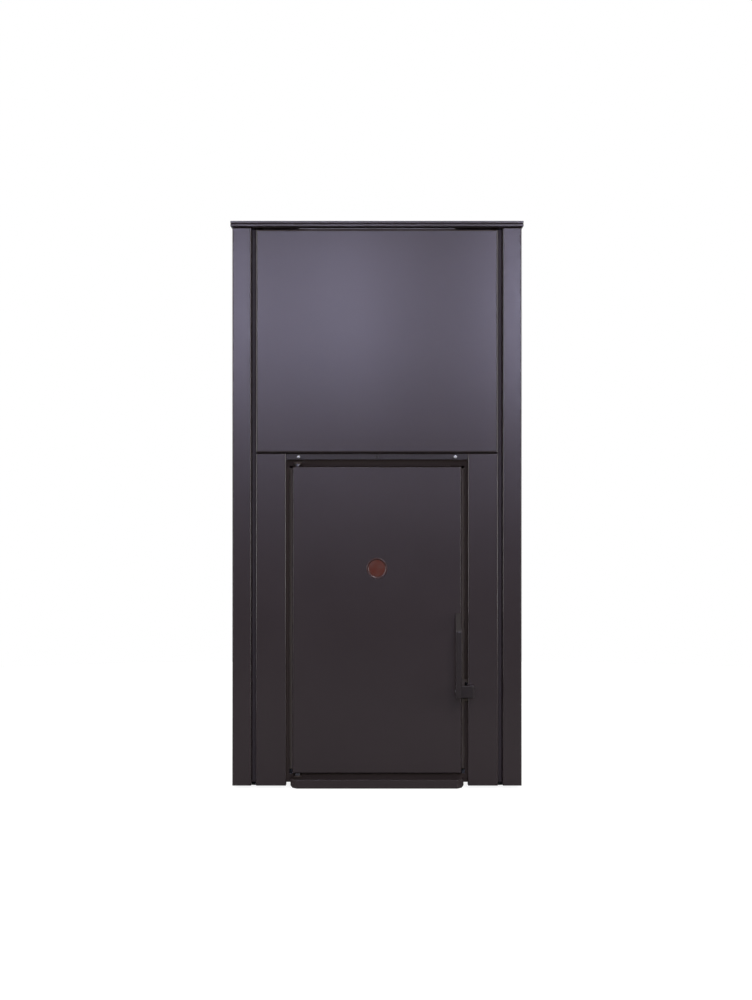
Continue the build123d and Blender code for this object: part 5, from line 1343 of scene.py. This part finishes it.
@dataclass
class Studio:
    """White surroundings, soft lamps and the camera."""

    distance: float = 4.5
    front: float = -0.37
    eye: Tuple[float, float] = (-0.0023, 0.671)
    field: float = 2.328
    film: float = 36.0
    far_clip: float = 60
    floor_radius: float = 3.2
    floor_sides: int = 96
    floor_base: float = 0.22
    floor_glow: float = 0.88
    cool: Colour = (0.73, 0.71, 1.0)

    def build(self) -> None:
        """Set the camera, the world, the floor and the lamps."""
        self._camera()
        self._world()
        self._floor()
        for lamp in self._lamps():
            lamp.hang()
        bpy.context.scene.view_settings.view_transform = "Standard"

    def _lamps(self) -> List[Lamp]:
        """List every lamp of the studio.

        Returns:
            The lamps, in the order in which they are hung.
        """
        cool, front = self.cool, self.front
        lamps = [Lamp(name, (x, -5.4, 1.66), (x * 0.45, front, 1.14), (0.16, 0.75), power, cool)
                 for name, x, power in (("left strip", -1.02, 23.4), ("middle strip", -0.14, 12.0),
                                        ("right strip", 0.98, 27.6))]
        lamps += [
            Lamp("low glow", (0.0, -5.6, 1.05), (0.0, front, 0.85), (2.4, 0.7), 1.8, cool),
            Lamp("top strip", (0.0, -4.2, 4.1), (0.0, front, 0.8), (2.0, 0.6), 16.0),
            Lamp("key softbox", (1.75, -4.0, 4.0), (0.0, front, 0.9), (1.1, 1.1), 85.0, (1.0, 0.99, 0.97)),
            Lamp("fill softbox", (-2.6, -3.2, 3.6), (0.0, front, 0.9), (1.2, 1.2), 12.0),
            Lamp("seam light", (0.0, -5.3, 0.85), (0.0, front, 0.85), (0.5, 0.3), 42.0, (1.0, 0.97, 0.95),
                 mirrored=False)]
        for side in (-1, 1):
            lamps += [
                Lamp("side strip", (side * 3.7, -0.95, 1.3), (side * 0.3, -0.35, 0.9), (0.8, 2.4), 60.0),
                Lamp("door edge strip", (side * 3.3, -1.8, 1.3), (side * 0.3, -0.35, 0.7), (0.5, 2.2), 14.0)]
        return lamps + [Lamp("back softbox", (0.6, 4.4, 3.0), (0.0, 0.3, 0.8), (3.0, 2.0), 220.0)]

    def _camera(self) -> None:
        """Level camera in front of the boiler, framed as 752 by 1000."""
        data = bpy.data.cameras.new("camera")
        data.sensor_fit = "VERTICAL"
        data.sensor_height = self.film
        data.lens = self.film * self.distance / self.field
        data.clip_end = self.far_clip
        camera = bpy.data.objects.new("camera", data)
        camera.location = (self.eye[0], self.front - self.distance, self.eye[1])
        camera.rotation_euler = (math.pi / 2, 0, 0)
        bpy.context.scene.collection.objects.link(camera)
        bpy.context.scene.camera = camera

    def _world(self) -> None:
        """White to the camera, with a darker room in front for the lamps to stand out in."""
        world = bpy.data.worlds.new("studio")
        bpy.context.scene.world = world
        world.use_nodes = True
        world.node_tree.nodes.clear()
        w = Wiring(world.node_tree)
        output = w.add("ShaderNodeOutputWorld")
        place = w.add("ShaderNodeTexCoord")
        depth = w.add("ShaderNodeSeparateXYZ", {0: place.outputs["Generated"]}).outputs["Y"]
        ray = w.add("ShaderNodeLightPath").outputs
        seen = w.math("MAXIMUM", ray["Is Camera Ray"], ray["Is Transmission Ray"])
        room, mirror = self._backdrop(w, depth, 0.15, 0.75), self._backdrop(w, depth, 0.04, 1.0)
        white = w.add("ShaderNodeBackground", {"Color": WHITE}).outputs[0]
        shown = w.add("ShaderNodeMixShader", {0: ray["Is Glossy Ray"], 1: room, 2: mirror}).outputs[0]
        blend = w.add("ShaderNodeMixShader", {0: seen, 1: shown, 2: white}).outputs[0]
        w.feed(output.inputs["Surface"], blend)

    def _backdrop(self, w: Wiring, depth: Socket, near: float, far: float) -> Socket:
        """White behind the boiler, darker on the lamps' side.

        Args:
            w: The world's nodes.
            depth: How far a direction points to the back.
            near: Strength in front of the boiler.
            far: Strength behind it.

        Returns:
            The background's shader.
        """
        values = {"Value": depth, "From Min": -0.85, "From Max": 0.15, "To Min": near, "To Max": far}
        ramp = w.add("ShaderNodeMapRange", values, interpolation_type="SMOOTHSTEP").outputs["Result"]
        return w.add("ShaderNodeBackground", {"Color": WHITE, "Strength": ramp}).outputs[0]

    def _floor(self) -> None:
        """White floor that keeps a soft shadow."""
        mesh = bpy.data.meshes.new("floor")
        reach = self.floor_radius
        rim = [(reach * math.cos(a), reach * math.sin(a), 0.0) for a in turn(self.floor_sides)]
        mesh.from_pydata(rim, [], [tuple(range(self.floor_sides))])
        g = Graph("floor")
        g.surface(Base_Color=scaled(WHITE, self.floor_base), Roughness=0.9, Specular_IOR_Level=0.0)
        seen = g.add("ShaderNodeLightPath").outputs["Is Camera Ray"]
        glow = g.add("ShaderNodeEmission", {"Strength": g.math("MULTIPLY", seen, self.floor_glow)})
        total = g.add("ShaderNodeAddShader", {0: g.shader.outputs[0], 1: glow.outputs[0]})
        g.feed(g.tree.nodes["Material Output"].inputs["Surface"], total.outputs[0])
        mesh.materials.append(g.material)
        floor = bpy.data.objects.new("floor", mesh)
        bpy.context.scene.collection.objects.link(floor)


def main() -> None:
    """Build the studio, then each sub-assembly."""
    logging.basicConfig(level=logging.INFO, format="%(name)s: %(message)s")
    Studio().build()
    palette = Palette()
    for part in (Casing(palette), Lid(palette), UpperPanel(palette), FireDoor(palette), BoilerBody(palette),
                 PelletFeed(palette), ExhaustFan(palette), WaterSide(palette), Controls(palette)):
        part.dress()
        part.build()
        LOG.info("%s done", type(part).__name__)
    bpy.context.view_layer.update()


if __name__ == "__main__":
    main()
